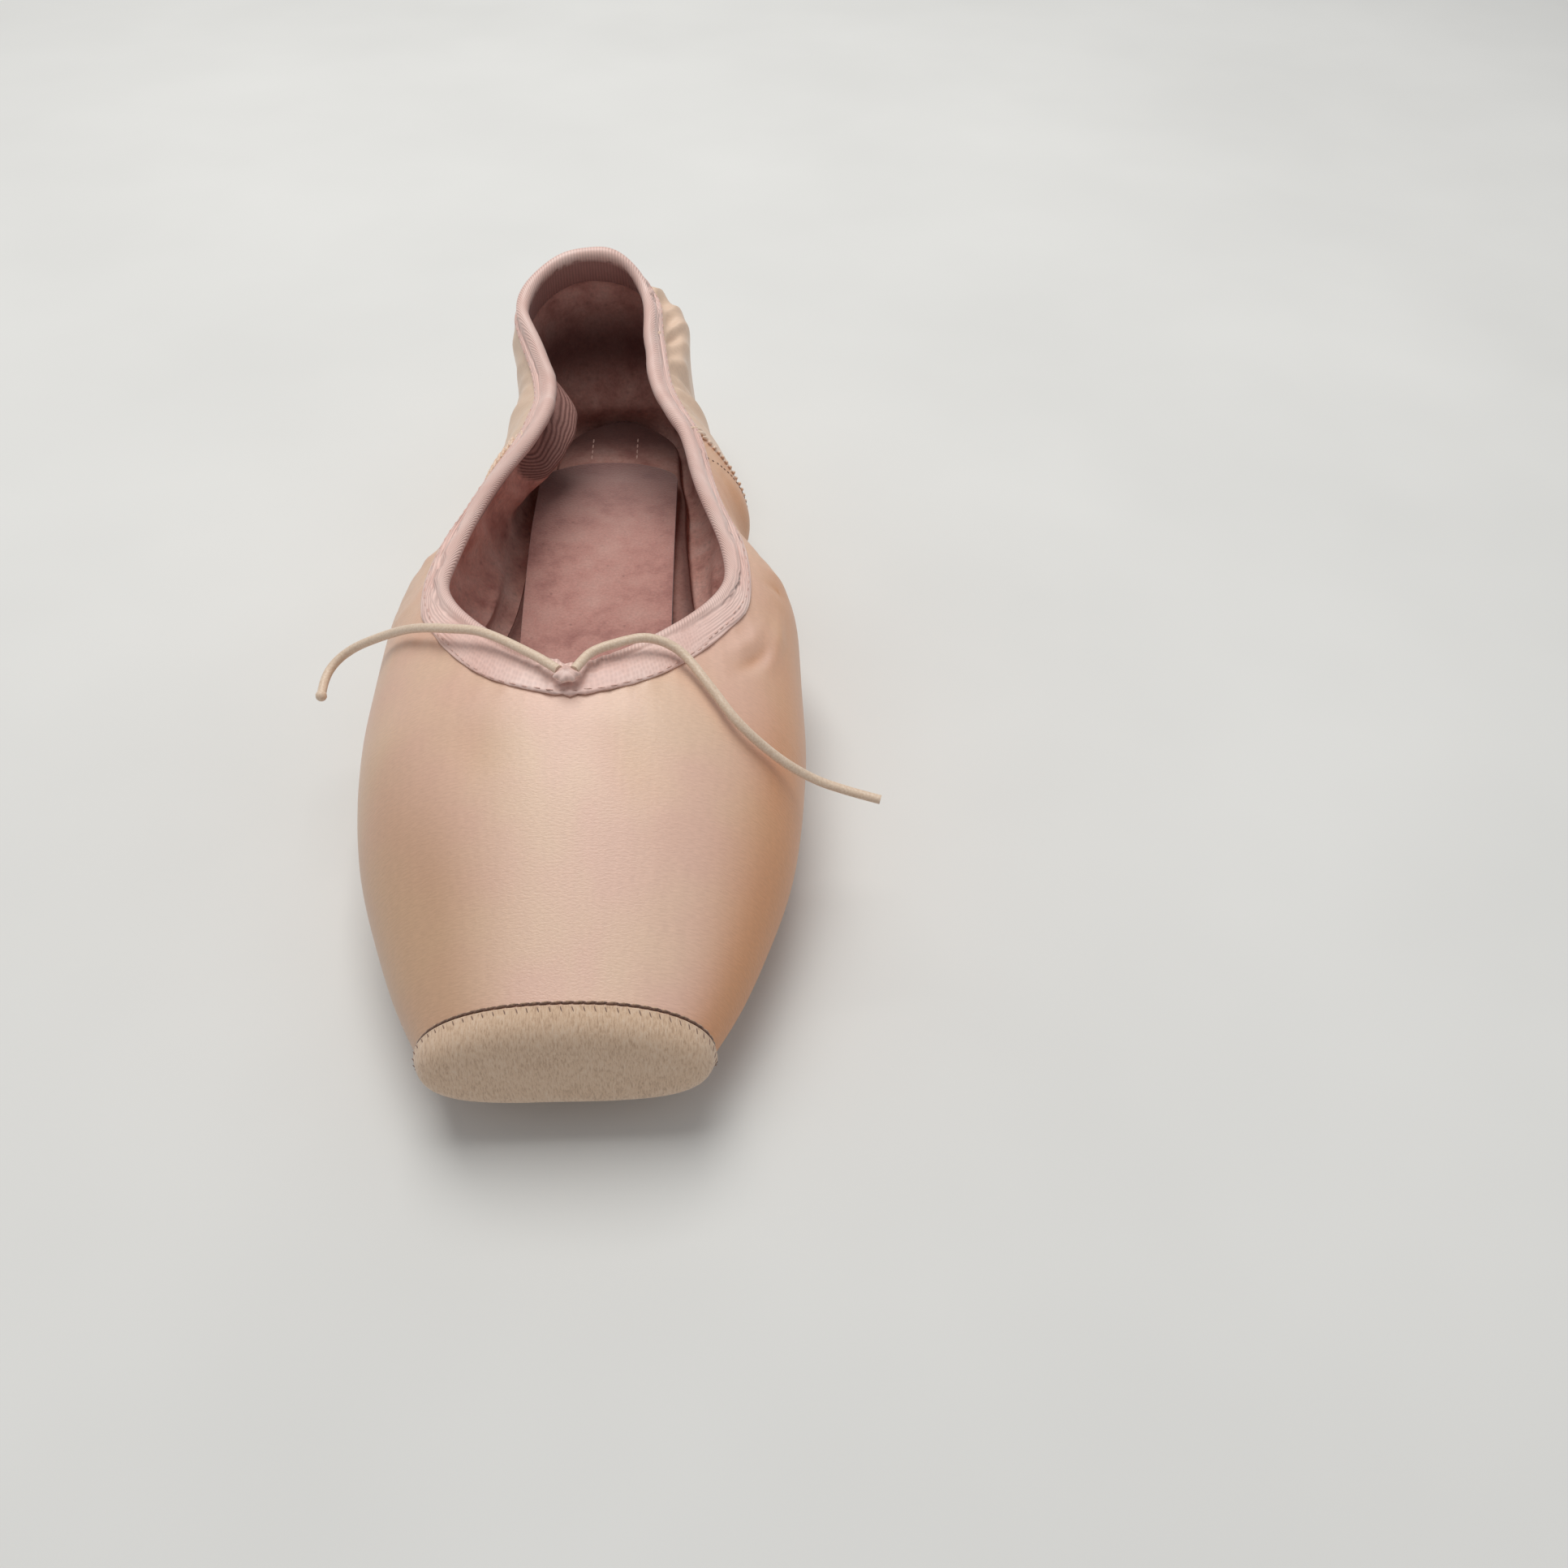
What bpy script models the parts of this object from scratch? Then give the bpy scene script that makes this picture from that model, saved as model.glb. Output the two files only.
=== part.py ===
"""A pointe shoe, modelled as the pieces that a maker sews and glues together.

Metres, +Z up. The toe points to -Y, the heel to +Y, and the shoe stands on its sole at Z = 0.
The origin is on the floor at the middle of the shoe's length.
Inside this file the distance along the shoe is measured from the toe, 0 at the flat platform
and LENGTH at the back of the heel. placed() moves a point into the shoe's own frame.
"""

import math
from collections import namedtuple

import bmesh
import bpy
from mathutils import Vector
from mathutils.bvhtree import BVHTree
from mathutils.interpolate import poly_3d_calc

# Driving sizes of the last, the form that the shoe is made on
LENGTH = 0.227
BALL_WIDTH = 0.090
ARCH_WIDTH = 0.0625
HEEL_WIDTH = 0.046
PLATFORM_WIDTH = 0.0462
PLATFORM_HEIGHT = 0.018
PLATFORM_ROUND = 0.0038
PLATFORM_LEAN = math.radians(9)
TOE_SPRING = 0.0072
ARCH_LIFT = 0.0045
VAMP_LENGTH = 0.062
VAMP_HEIGHT = 0.0505
SIDE_HEIGHT = 0.0425
HEEL_HEIGHT = 0.057
HEEL_LEAN = 0.0045
HEEL_CURVE = 0.15

# The collar opening, as the slack drawstring leaves it
THROAT_WIDTH = 0.064
THROAT_END = 0.100
PINCH_WIDTH = 0.030
HEEL_OPENING = 0.035

# Thicknesses, seams and clearances
WALL = 0.0020
GAP = 0.0003
SOLE_THICKNESS = 0.0024
SOLE_EDGE = 0.0008
INSOLE_THICKNESS = 0.0040
INSOLE_SETBACK = 0.010
PAD_THICKNESS = 0.0026
PAD_EDGE = 0.0007
TURN_IN = 0.009
PATCH_THICKNESS = 0.0007
PATCH_WRAP_TOP = 0.0004
PATCH_WRAP_UNDER = 0.0085
TAPE_GAP = 0.00045
TAPE_THICKNESS = 0.0008
TAPE_WIDTH = 0.0055
TAPE_TUCK = 0.4
CASING_RADIUS = 0.0018
CASING_TUCK = math.radians(27)
CASING_RISE = 0.75
STRIP_WIDTH = 0.010
STRIP_THICKNESS = 0.0007
STRIP_DROP = 0.0015
STRIP_FOOT = 0.0040
CORD_DIAMETER = 0.0018

# The outline of the outsole and of the pad, and where each begins and ends along the shoe
SOLE_START = 0.017
SOLE_END = 0.2215
SOLE_BALL_WIDTH = 0.052
SOLE_ARCH_WIDTH = 0.032
SOLE_HEEL_WIDTH = 0.036
SOLE_TIP = 0.35
PAD_START = 0.056
PAD_END = 0.195
PAD_BALL_WIDTH = 0.034
PAD_BACK_WIDTH = 0.0365
PAD_SHIFT = -0.0015
RIM_START = 0.028

# The height of a section's widest point, as a share of its whole height
WIDEST = 0.36

# How round the plans of the heel and of the throat are: 2 is an ellipse, and more is squarer
HEEL_ROUND = 2.4
THROAT_ROUND = 1.4

# How finely the last is divided
FLAT_STEPS = 2
LOW_STEPS = 4
HIGH_STEPS = 8
BOX_STEPS = 9
THROAT_STEPS = 8
QUARTER_STEPS = 12
HEEL_STEPS = 10
CASING_STEPS = 6
EDGE_STEPS = 3
STRIP_STEPS = 12
HALVINGS = 30
PLATE_STEPS = 36
CORD_STEPS = 20
FACE_RINGS = (0.0, 0.4, 0.75)
TAPE_LEGS = (1.0, 0.66, 0.33)
CROWDING = 1.35
THROAT_CROWDING = 1.6
SHARP_ANGLE = math.radians(50)


def mix(a, b, share):
    """The value that lies this share of the way from a to b."""
    return a + (b - a) * share


def soft_step(x):
    """0 below 0, 1 above 1, and a smooth rise between."""
    x = min(max(x, 0.0), 1.0)
    return x * x * (3 - 2 * x)


FLOOR = SOLE_THICKNESS + GAP
BALL_AT = 0.31 * LENGTH
ARCH_AT = 0.68 * LENGTH
HEEL_CENTRE = LENGTH - HEEL_WIDTH / 2

# One row for each section of the last. along: from the toe; width: of the widest point;
# edge: height of the crown, or of the collar where the last is open; flat: share of the
# width that lies flat on the sole; lift: height of that flat above the ball's;
# opening: width between the collar's edges; power: 2 for an elliptical side, more is squarer.
Section = namedtuple("Section", "name along width edge flat lift opening power")
PLATFORM_TOP = FLOOR + TOE_SPRING + PLATFORM_HEIGHT
SECTIONS = [
    Section("platform", 0.0, PLATFORM_WIDTH, PLATFORM_TOP, 0.34, TOE_SPRING, 0.0, 2.3),
    Section("tip", 0.12 * VAMP_LENGTH, mix(PLATFORM_WIDTH, BALL_WIDTH, 0.20),
            mix(PLATFORM_TOP, VAMP_HEIGHT, 0.12), 0.42, 0.74 * TOE_SPRING, 0.0, 2.3),
    Section("box", 0.38 * VAMP_LENGTH, mix(PLATFORM_WIDTH, BALL_WIDTH, 0.53),
            mix(PLATFORM_TOP, VAMP_HEIGHT, 0.43), 0.52, 0.28 * TOE_SPRING, 0.0, 2.2),
    Section("vamp", 0.72 * VAMP_LENGTH, mix(PLATFORM_WIDTH, BALL_WIDTH, 0.85),
            mix(PLATFORM_TOP, VAMP_HEIGHT, 0.80), 0.60, 0.0, 0.0, 2.15),
    Section("throat", VAMP_LENGTH, mix(PLATFORM_WIDTH, BALL_WIDTH, 0.96),
            VAMP_HEIGHT, 0.64, 0.0, 0.0, 2.15),
    Section("ball", mix(VAMP_LENGTH, THROAT_END, 0.35), BALL_WIDTH,
            mix(VAMP_HEIGHT, SIDE_HEIGHT, 0.4), 0.66, 0.0, 0.0, 2.25),
    Section("wing", THROAT_END, mix(BALL_WIDTH, ARCH_WIDTH, 0.01),
            mix(VAMP_HEIGHT, SIDE_HEIGHT, 0.85), 0.65, 0.0, THROAT_WIDTH, 2.45),
    Section("shoulder", 0.50 * LENGTH, mix(BALL_WIDTH, ARCH_WIDTH, 0.07),
            mix(VAMP_HEIGHT, SIDE_HEIGHT, 0.97), 0.64, 0.08 * ARCH_LIFT,
            mix(THROAT_WIDTH, PINCH_WIDTH, 0.08), 2.5),
    Section("waist", 0.57 * LENGTH, mix(BALL_WIDTH, ARCH_WIDTH, 0.77), SIDE_HEIGHT,
            0.66, 0.60 * ARCH_LIFT, mix(THROAT_WIDTH, PINCH_WIDTH, 0.28), 2.3),
    Section("arch", ARCH_AT, ARCH_WIDTH, SIDE_HEIGHT, 0.66, ARCH_LIFT,
            mix(THROAT_WIDTH, PINCH_WIDTH, 0.63), 2.2),
    Section("pinch", 0.79 * LENGTH, mix(ARCH_WIDTH, HEEL_WIDTH, 0.50),
            mix(SIDE_HEIGHT, HEEL_HEIGHT, 0.09), 0.74, 0.50 * ARCH_LIFT, PINCH_WIDTH, 2.3),
    Section("seat", 0.85 * LENGTH, mix(ARCH_WIDTH, HEEL_WIDTH, 0.94),
            mix(SIDE_HEIGHT, HEEL_HEIGHT, 0.27), 0.78, 0.0,
            mix(PINCH_WIDTH, HEEL_OPENING, 0.3), 2.3),
    Section("heel", HEEL_CENTRE, HEEL_WIDTH, mix(SIDE_HEIGHT, HEEL_HEIGHT, 0.50),
            0.78, 0.0, HEEL_OPENING, 2.3),
]


def through(rows, field, along):
    """A smooth curve through one column of the sections, which never overshoots its rows."""
    xs = [row.along for row in rows]
    ys = [getattr(row, field) for row in rows]
    if along <= xs[0]:
        return ys[0]
    if along >= xs[-1]:
        return ys[-1]
    slopes = [(b - a) / (q - p) for p, q, a, b in zip(xs, xs[1:], ys, ys[1:])]
    at_rows = [0.0]
    for left, right in zip(slopes, slopes[1:]):
        at_rows.append(2 * left * right / (left + right) if left * right > 0 else 0.0)
    at_rows.append(0.0)
    k = max(i for i in range(len(xs) - 1) if xs[i] <= along)
    run = xs[k + 1] - xs[k]
    t = (along - xs[k]) / run
    return (
        (1 + 2 * t) * (1 - t) ** 2 * ys[k]
        + t * (1 - t) ** 2 * run * at_rows[k]
        + t * t * (3 - 2 * t) * ys[k + 1]
        + t * t * (t - 1) * run * at_rows[k + 1]
    )


def round_arc(start, end, along):
    """0 at start and 1 from end on, like a quarter of a circle seen from above."""
    short = min(max((end - along) / (end - start), 0.0), 1.0)
    return (1 - short ** THROAT_ROUND) ** (1 / THROAT_ROUND)


Cut = namedtuple("Cut", "half low widest crown flat rim opening power")


def crown_of(row):
    """The height at which a section would close over its open collar."""
    low = FLOOR + row.lift
    widest = mix(low, row.edge, WIDEST)
    narrow = (row.opening / row.width) ** row.power
    return widest + (row.edge - widest) / (1 - narrow) ** (1 / row.power)


Crown = namedtuple("Crown", "along crown")
CROWNS = [Crown(row.along, crown_of(row)) for row in SECTIONS if row.name != "ball"]
OPEN_ROWS = [row for row in SECTIONS if row.opening > 0]
RIM_END = THROAT_END


def cut_at(along):
    """The section of the last at this distance from the toe."""
    half = through(SECTIONS, "width", along) / 2
    low = FLOOR + through(SECTIONS, "lift", along)
    edge = through(SECTIONS, "edge", along)
    flat = half * through(SECTIONS, "flat", along)
    opening = 0.0
    if along > VAMP_LENGTH:
        full = through(OPEN_ROWS, "opening", along) / 2
        opening = full * round_arc(VAMP_LENGTH, THROAT_END, along)
    rim = 0.0
    if along > RIM_START:
        rim = (flat - TURN_IN) * round_arc(RIM_START, RIM_END, along)
    return Cut(half, low, mix(low, edge, WIDEST), through(CROWNS, "crown", along),
               flat, rim, opening, through(SECTIONS, "power", along))


def quarter(angle, power):
    """A point of a superellipse quarter: across and up, each from 0 to 1."""
    return max(math.cos(angle), 0.0) ** (2 / power), max(math.sin(angle), 0.0) ** (2 / power)


def side_point(cut, t):
    """Across and height of a section: t is 0 under the shoe, 1 and 2 at the ends of the
    flat and of the lower side, and 3 at the crown or the collar's edge."""
    if t <= 1:
        return mix(cut.rim, cut.flat, t), cut.low
    if t <= 2:
        across, down = quarter((2 - t) * math.pi / 2, cut.power)
        return mix(cut.flat, cut.half, across), mix(cut.widest, cut.low, down)
    reach = math.acos(min((cut.opening / cut.half) ** (cut.power / 2), 1.0))
    across, up = quarter((t - 2) * reach, cut.power)
    return cut.half * across, mix(cut.widest, cut.crown, up)


def section_steps():
    """Where a section has its points, from under the shoe to its top."""
    steps = [i / FLAT_STEPS for i in range(FLAT_STEPS)]
    steps += [1 + i / LOW_STEPS for i in range(LOW_STEPS)]
    return steps + [2 + i / HIGH_STEPS for i in range(HIGH_STEPS + 1)]


def last_point(along, t):
    """A point of the right side of the last between the platform's edge and the heel."""
    across, height = side_point(cut_at(along), t)
    fade = 1 - soft_step(along / THROAT_END)
    lean = math.tan(PLATFORM_LEAN) * fade * (height - FLOOR - TOE_SPRING)
    return Vector((across, along + lean, height))


def platform_point(turn, shrink, t):
    """A point of the platform's rounded edge, where turn goes from 0 on the flat face to
    a right angle on the side. shrink below 1 gives a ring on the flat face itself."""
    along = PLATFORM_ROUND * (1 - math.cos(turn))
    edge = last_point(PLATFORM_ROUND, t)
    cut = cut_at(PLATFORM_ROUND)
    inset = PLATFORM_ROUND * (1 - math.sin(turn))
    across = edge.x * (1 - inset / cut.half) * shrink
    rise = (cut.crown - cut.low) / 2
    middle = cut.low + rise
    height = middle + (edge.z - middle) * (1 - inset / rise) * shrink
    lean = math.tan(PLATFORM_LEAN) * (height - FLOOR - TOE_SPRING)
    return Vector((across, along + lean, height))


def heel_point(turn, t):
    """A point of the rounded heel, where turn goes from 0 at the sides to a right angle
    at the back. The plan is a superellipse, leaning in towards the collar."""
    cut = cut_at(HEEL_CENTRE)
    across, height = side_point(cut, t)
    power = 2 / HEEL_ROUND
    side = max(math.cos(turn), 0.0) ** power
    back = max(math.sin(turn), 0.0) ** power
    reach = across * (LENGTH - HEEL_CENTRE) / cut.half
    if t > 2:
        upright = LENGTH - HEEL_CENTRE - HEEL_LEAN * (t - 2) ** 2
        reach = mix(upright, reach, HEEL_CURVE)
    rise = (HEEL_HEIGHT - cut.low) / (side_point(cut, 3)[1] - cut.low)
    height = cut.low + (height - cut.low) * mix(1.0, rise, math.sin(turn) ** 2)
    return Vector((across * side, HEEL_CENTRE + reach * back, height))


# One row for each place where the empty shoe has slumped or bulged. along and reach: from
# the toe and each way from there, as shares of LENGTH; height and depth: the same upwards,
# as shares of HEEL_HEIGHT; left and right: how far that side moves to the right, as shares
# of HEEL_WIDTH; twist: how far back the right side goes, per metre across.
Slump = namedtuple("Slump", "name along reach height depth left right twist")
SLUMPS = [
    Slump("heel leans over", 0.93, 0.10, 1.0, 0.45, -0.15, -0.15, 0.20),
    Slump("heel puffs out", 0.95, 0.06, 0.72, 0.16, 0.0, 0.09, 0.0),
    Slump("quarter folds in", 0.71, 0.06, 1.0, 0.45, 0.06, 0.05, 0.0),
    Slump("side seam bulges", 0.69, 0.05, 0.45, 0.25, 0.0, 0.07, 0.0),
    Slump("wing spreads", 0.50, 0.05, 0.62, 0.30, 0.0, 0.03, 0.0),
]


def slumped(point):
    """The point after the empty collar has leaned and bulged."""
    moved = point.copy()
    for row in SLUMPS:
        near = math.exp(-(((point.y / LENGTH - row.along) / row.reach) ** 2))
        high = math.exp(-(((point.z / HEEL_HEIGHT - row.height) / row.depth) ** 2))
        side = soft_step(0.5 + point.x / HEEL_WIDTH)
        moved.x += near * high * HEEL_WIDTH * mix(row.left, row.right, side)
        moved.y += near * high * row.twist * point.x
    return moved


def placed(point):
    """A point measured from the toe, moved into the shoe's own frame."""
    return Vector((point.x, point.y - LENGTH / 2, point.z))


def platform_rows():
    """The flat face of the platform, from its middle outwards, and then its rounded edge."""
    steps = section_steps()
    rows = [[platform_point(0.0, shrink, t) for t in steps] for shrink in FACE_RINGS]
    for i in range(EDGE_STEPS + 1):
        rows.append([platform_point(i / EDGE_STEPS * math.pi / 2, 1.0, t) for t in steps])
    return rows


def last_rows():
    """The right side of the last as rows of points, from the platform round to the heel."""
    steps = section_steps()
    rows = platform_rows()
    stations = []
    for i in range(1, BOX_STEPS):
        share = i / BOX_STEPS
        stations.append(mix(PLATFORM_ROUND, VAMP_LENGTH, share * mix(CROWDING, 1.0, share)))
    for i in range(THROAT_STEPS):
        stations.append(mix(VAMP_LENGTH, THROAT_END, (i / THROAT_STEPS) ** THROAT_CROWDING))
    for i in range(QUARTER_STEPS):
        stations.append(mix(THROAT_END, HEEL_CENTRE, i / QUARTER_STEPS))
    rows += [[last_point(along, t) for t in steps] for along in stations]
    for i in range(HEEL_STEPS + 1):
        rows.append([heel_point(i / HEEL_STEPS * math.pi / 2, t) for t in steps])
    return rows


def mirrored(point):
    return Vector((-point.x, point.y, point.z))


def add_skin(mesh, rows):
    """Adds both sides of a skin from the rows of its right side, and welds the middle."""
    for mirror in (False, True):
        grid = []
        for row in rows:
            points = [mirrored(p) if mirror else p for p in row]
            grid.append([mesh.verts.new(placed(slumped(p))) for p in points])
        for near, far in zip(grid, grid[1:]):
            for i in range(len(near) - 1):
                corners = [near[i], far[i], far[i + 1], near[i + 1]]
                if mirror:
                    corners.reverse()
                mesh.faces.new(corners)
    bmesh.ops.remove_doubles(mesh, verts=mesh.verts, dist=1e-6)
    bmesh.ops.dissolve_degenerate(mesh, edges=mesh.edges, dist=1e-7)


def material(name, colour, roughness):
    finish = bpy.data.materials.new(name)
    finish.use_nodes = True
    shader = finish.node_tree.nodes["Principled BSDF"]
    shader.inputs["Base Color"].default_value = (*colour, 1.0)
    shader.inputs["Roughness"].default_value = roughness
    shader.inputs["Metallic"].default_value = 0.0
    finish.diffuse_color = (*colour, 1.0)
    return finish


def add_object(name, mesh, finish):
    """Turns a bmesh into a named, smooth shaded object of the scene."""
    data = bpy.data.meshes.new(name)
    mesh.to_mesh(data)
    mesh.free()
    data.materials.append(finish)
    data.shade_smooth()
    data.set_sharp_from_angle(angle=SHARP_ANGLE)
    made = bpy.data.objects.new(name, data)
    bpy.context.scene.collection.objects.link(made)
    return made


def thicken(made, thickness, side):
    """Gives a skin its thickness: side is -1 inwards and 1 outwards."""
    wall = made.modifiers.new("wall", "SOLIDIFY")
    wall.thickness = thickness
    wall.offset = side
    wall.use_even_offset = True
    wall.use_rim = True
    return wall


def make_upper(finish):
    mesh = bmesh.new()
    add_skin(mesh, last_rows())
    upper = add_object("upper", mesh, finish)
    thicken(upper, WALL, -1)
    return upper


def raised(mesh, distance):
    """Moves every point of an open skin outwards along its normal."""
    mesh.normal_update()
    moves = [(v, v.normal.copy()) for v in mesh.verts]
    for vert, normal in moves:
        vert.co += normal * distance


def make_toe_patch(finish):
    """The suede tip covers the platform and its rounded edge, and wraps on under the toe."""
    rows = platform_rows()
    for part in (0.5, 1.0):
        row = []
        for t in section_steps():
            wrap = mix(PATCH_WRAP_UNDER, PATCH_WRAP_TOP, soft_step(t - 1))
            row.append(last_point(PLATFORM_ROUND + part * wrap, t))
        rows.append(row)
    mesh = bmesh.new()
    add_skin(mesh, rows)
    raised(mesh, GAP)
    patch = add_object("toe_patch", mesh, finish)
    thicken(patch, PATCH_THICKNESS, 1)
    return patch


def heel_step_at(height):
    """The step of the section at the back of the heel that lies at this height."""
    low, high = 1.0, 3.0
    for _ in range(HALVINGS):
        middle = (low + high) / 2
        if heel_point(math.pi / 2, middle).z > height:
            high = middle
        else:
            low = middle
    return low


def make_heel_strip(finish):
    """A narrow strip over the back seam, from the sole up to the binding."""
    half_turn = math.acos((STRIP_WIDTH / HEEL_WIDTH) ** (HEEL_ROUND / 2))
    foot = heel_step_at(STRIP_FOOT)
    top = heel_step_at(HEEL_HEIGHT - TAPE_WIDTH - STRIP_DROP)
    rows = []
    for across in range(3):
        turn = mix(half_turn, math.pi / 2, across / 2)
        rows.append([heel_point(turn, mix(foot, top, i / STRIP_STEPS))
                     for i in range(STRIP_STEPS + 1)])
    mesh = bmesh.new()
    add_skin(mesh, rows)
    raised(mesh, GAP)
    strip = add_object("heel_strip", mesh, finish)
    thicken(strip, STRIP_THICKNESS, 1)
    return strip


Outline = namedtuple("Outline", "along width")


def plate_stations(start, end, count):
    """Distances from the toe that lie closer together at both ends."""
    return [mix(start, end, (1 - math.cos(i / count * math.pi)) / 2) for i in range(count + 1)]


def make_plate(name, half_at, start, end, low_at, thickness, edge, finish, shift=0.0):
    """A flat piece that follows the bottom of the last: a strip of quads between two
    outlines, with its height taken from low_at and a bevelled lower edge."""
    mesh = bmesh.new()
    rows = []
    for along in plate_stations(start, end, PLATE_STEPS):
        half = half_at(along)
        low = low_at(along)
        corners = ((-half, low), (half, low), (half, low + thickness), (-half, low + thickness))
        rows.append([mesh.verts.new(placed(Vector((x + shift, along, z)))) for x, z in corners])
    for near, far in zip(rows, rows[1:]):
        for i in range(4):
            mesh.faces.new([near[i], near[(i + 1) % 4], far[(i + 1) % 4], far[i]])
    bmesh.ops.remove_doubles(mesh, verts=mesh.verts, dist=1e-6)
    for tip in (start, end):
        ends = [v for v in mesh.verts if abs(v.co.y - placed(Vector((0, tip, 0))).y) < 1e-7]
        if len(ends) > 2:
            bmesh.ops.contextual_create(mesh, geom=ends)
    bmesh.ops.recalc_face_normals(mesh, faces=mesh.faces)
    made = add_object(name, mesh, finish)
    if edge:
        bevel = made.modifiers.new("edge", "BEVEL")
        bevel.width = edge
        bevel.segments = 2
        bevel.limit_method = "ANGLE"
        bevel.angle_limit = SHARP_ANGLE
    return made


def sole_top(along):
    return cut_at(along).low - GAP


def sole_half(along):
    rows = [
        Outline(SOLE_START, mix(SOLE_ARCH_WIDTH, SOLE_BALL_WIDTH, SOLE_TIP)),
        Outline(BALL_AT, SOLE_BALL_WIDTH),
        Outline(ARCH_AT, SOLE_ARCH_WIDTH),
        Outline(HEEL_CENTRE, SOLE_HEEL_WIDTH),
        Outline(SOLE_END, SOLE_HEEL_WIDTH),
    ]
    half = through(rows, "width", along) / 2
    return half * rounded_ends(along, SOLE_START, SOLE_END, SOLE_BALL_WIDTH / 2, SOLE_HEEL_WIDTH / 2)


def rounded_ends(along, start, end, front, back):
    """Closes an outline at both ends with half ellipses of these lengths."""
    near = min(max((along - start) / front, 0.0), 1.0)
    far = min(max((end - along) / back, 0.0), 1.0)
    return math.sqrt(1 - (1 - near) ** 2) * math.sqrt(1 - (1 - far) ** 2)


def insole_low(along):
    return cut_at(along).low + WALL + 2 * GAP


INSOLE_START = PLATFORM_ROUND + WALL + INSOLE_SETBACK
INSOLE_END = HEEL_CENTRE + cut_at(HEEL_CENTRE).flat - 2 * GAP


def insole_half(along):
    cut = cut_at(min(along, HEEL_CENTRE))
    return (cut.flat - GAP) * rounded_ends(
        along, INSOLE_START, INSOLE_END, PLATFORM_WIDTH / 3, INSOLE_END - HEEL_CENTRE)


def pad_half(along):
    share = soft_step((along - PAD_START) / (PAD_END - PAD_START))
    half = mix(PAD_BALL_WIDTH, PAD_BACK_WIDTH, share) / 2
    return half * rounded_ends(along, PAD_START, PAD_END, PAD_BALL_WIDTH / 3, PAD_BACK_WIDTH / 4)


def pad_low(along):
    return insole_low(along) + INSOLE_THICKNESS + GAP


def collar_loop(skin):
    """The upper's collar edge as an ordered loop of vertices, from the throat round by the
    right side to the heel and back."""
    edges = [e for e in skin.edges if e.is_boundary]
    high = [e for e in edges if min(v.co.z for v in e.verts) > SIDE_HEIGHT / 2]
    links = {}
    for edge in high:
        for vert in edge.verts:
            links.setdefault(vert, []).append(edge.other_vert(vert))
    first = min(links, key=lambda v: v.co.y)
    loop = [first, max(links[first], key=lambda v: v.co.x)]
    while True:
        onward = [v for v in links[loop[-1]] if v is not loop[-2]]
        if onward[0] is first:
            return loop
        loop.append(onward[0])


def below_edge(skin, tree, vert, down, distance):
    """The point of the skin this far below a vertex of the collar, and the normal there."""
    if distance == 0:
        return vert.co.copy(), vert.normal.copy()
    point, _, face_index, _ = tree.find_nearest(vert.co + down * distance)
    face = skin.faces[face_index]
    normal = Vector((0.0, 0.0, 0.0))
    for corner, weight in zip(face.verts, poly_3d_calc([v.co for v in face.verts], point)):
        normal += corner.normal * weight
    return point, normal.normalized()


def hairpin(edge, legs):
    """The binding's section at one point of the collar: a tape folded over the edge, with
    a round casing on top. edge and legs are points of the skin and their normals, the legs
    from the tape's hem up."""
    top, out = edge
    up = (top - legs[-1][0]).normalized()
    inside = WALL + TAPE_GAP
    middle = top - out * (WALL / 2) + up * (TAPE_GAP + CASING_RADIUS * CASING_RISE)
    points = [p + n * (TAPE_GAP + TAPE_THICKNESS) for p, n in legs]
    for i in range(CASING_STEPS + 1):
        angle = mix(-CASING_TUCK, math.pi + CASING_TUCK, i / CASING_STEPS)
        points.append(middle + CASING_RADIUS * (out * math.cos(angle) + up * math.sin(angle)))
    points += [p - n * (inside + TAPE_THICKNESS) for p, n in reversed(legs)]
    points += [p - n * inside for p, n in legs]
    points += [top - out * inside + up * TAPE_GAP, top + out * TAPE_GAP + up * TAPE_GAP]
    points += [p + n * TAPE_GAP for p, n in reversed(legs)]
    return points


def make_binding(finish):
    """The folded tape round the collar, which holds the drawstring in its fold. It is
    narrower at the throat, where the drawstring gathers it."""
    skin = bmesh.new()
    add_skin(skin, last_rows())
    skin.normal_update()
    skin.faces.ensure_lookup_table()
    tree = BVHTree.FromBMesh(skin)
    loop = collar_loop(skin)
    mesh = bmesh.new()
    rings = []
    for i, vert in enumerate(loop):
        along_edge = loop[(i + 1) % len(loop)].co - loop[i - 1].co
        down = along_edge.cross(vert.normal).normalized()
        from_throat = vert.co.y + LENGTH / 2 - VAMP_LENGTH
        untucked = soft_step(from_throat / (THROAT_END - VAMP_LENGTH) * 2)
        width = TAPE_WIDTH * mix(TAPE_TUCK, 1.0, untucked)
        legs = [below_edge(skin, tree, vert, down, width * share) for share in TAPE_LEGS]
        edge = below_edge(skin, tree, vert, down, 0.0)
        rings.append([mesh.verts.new(p) for p in hairpin(edge, legs)])
    for ring, onward in zip(rings, rings[1:] + rings[:1]):
        for k in range(len(ring)):
            mesh.faces.new([ring[k - 1], ring[k], onward[k], onward[k - 1]])
    bmesh.ops.recalc_face_normals(mesh, faces=mesh.faces)
    skin.free()
    return add_object("binding", mesh, finish)


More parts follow.
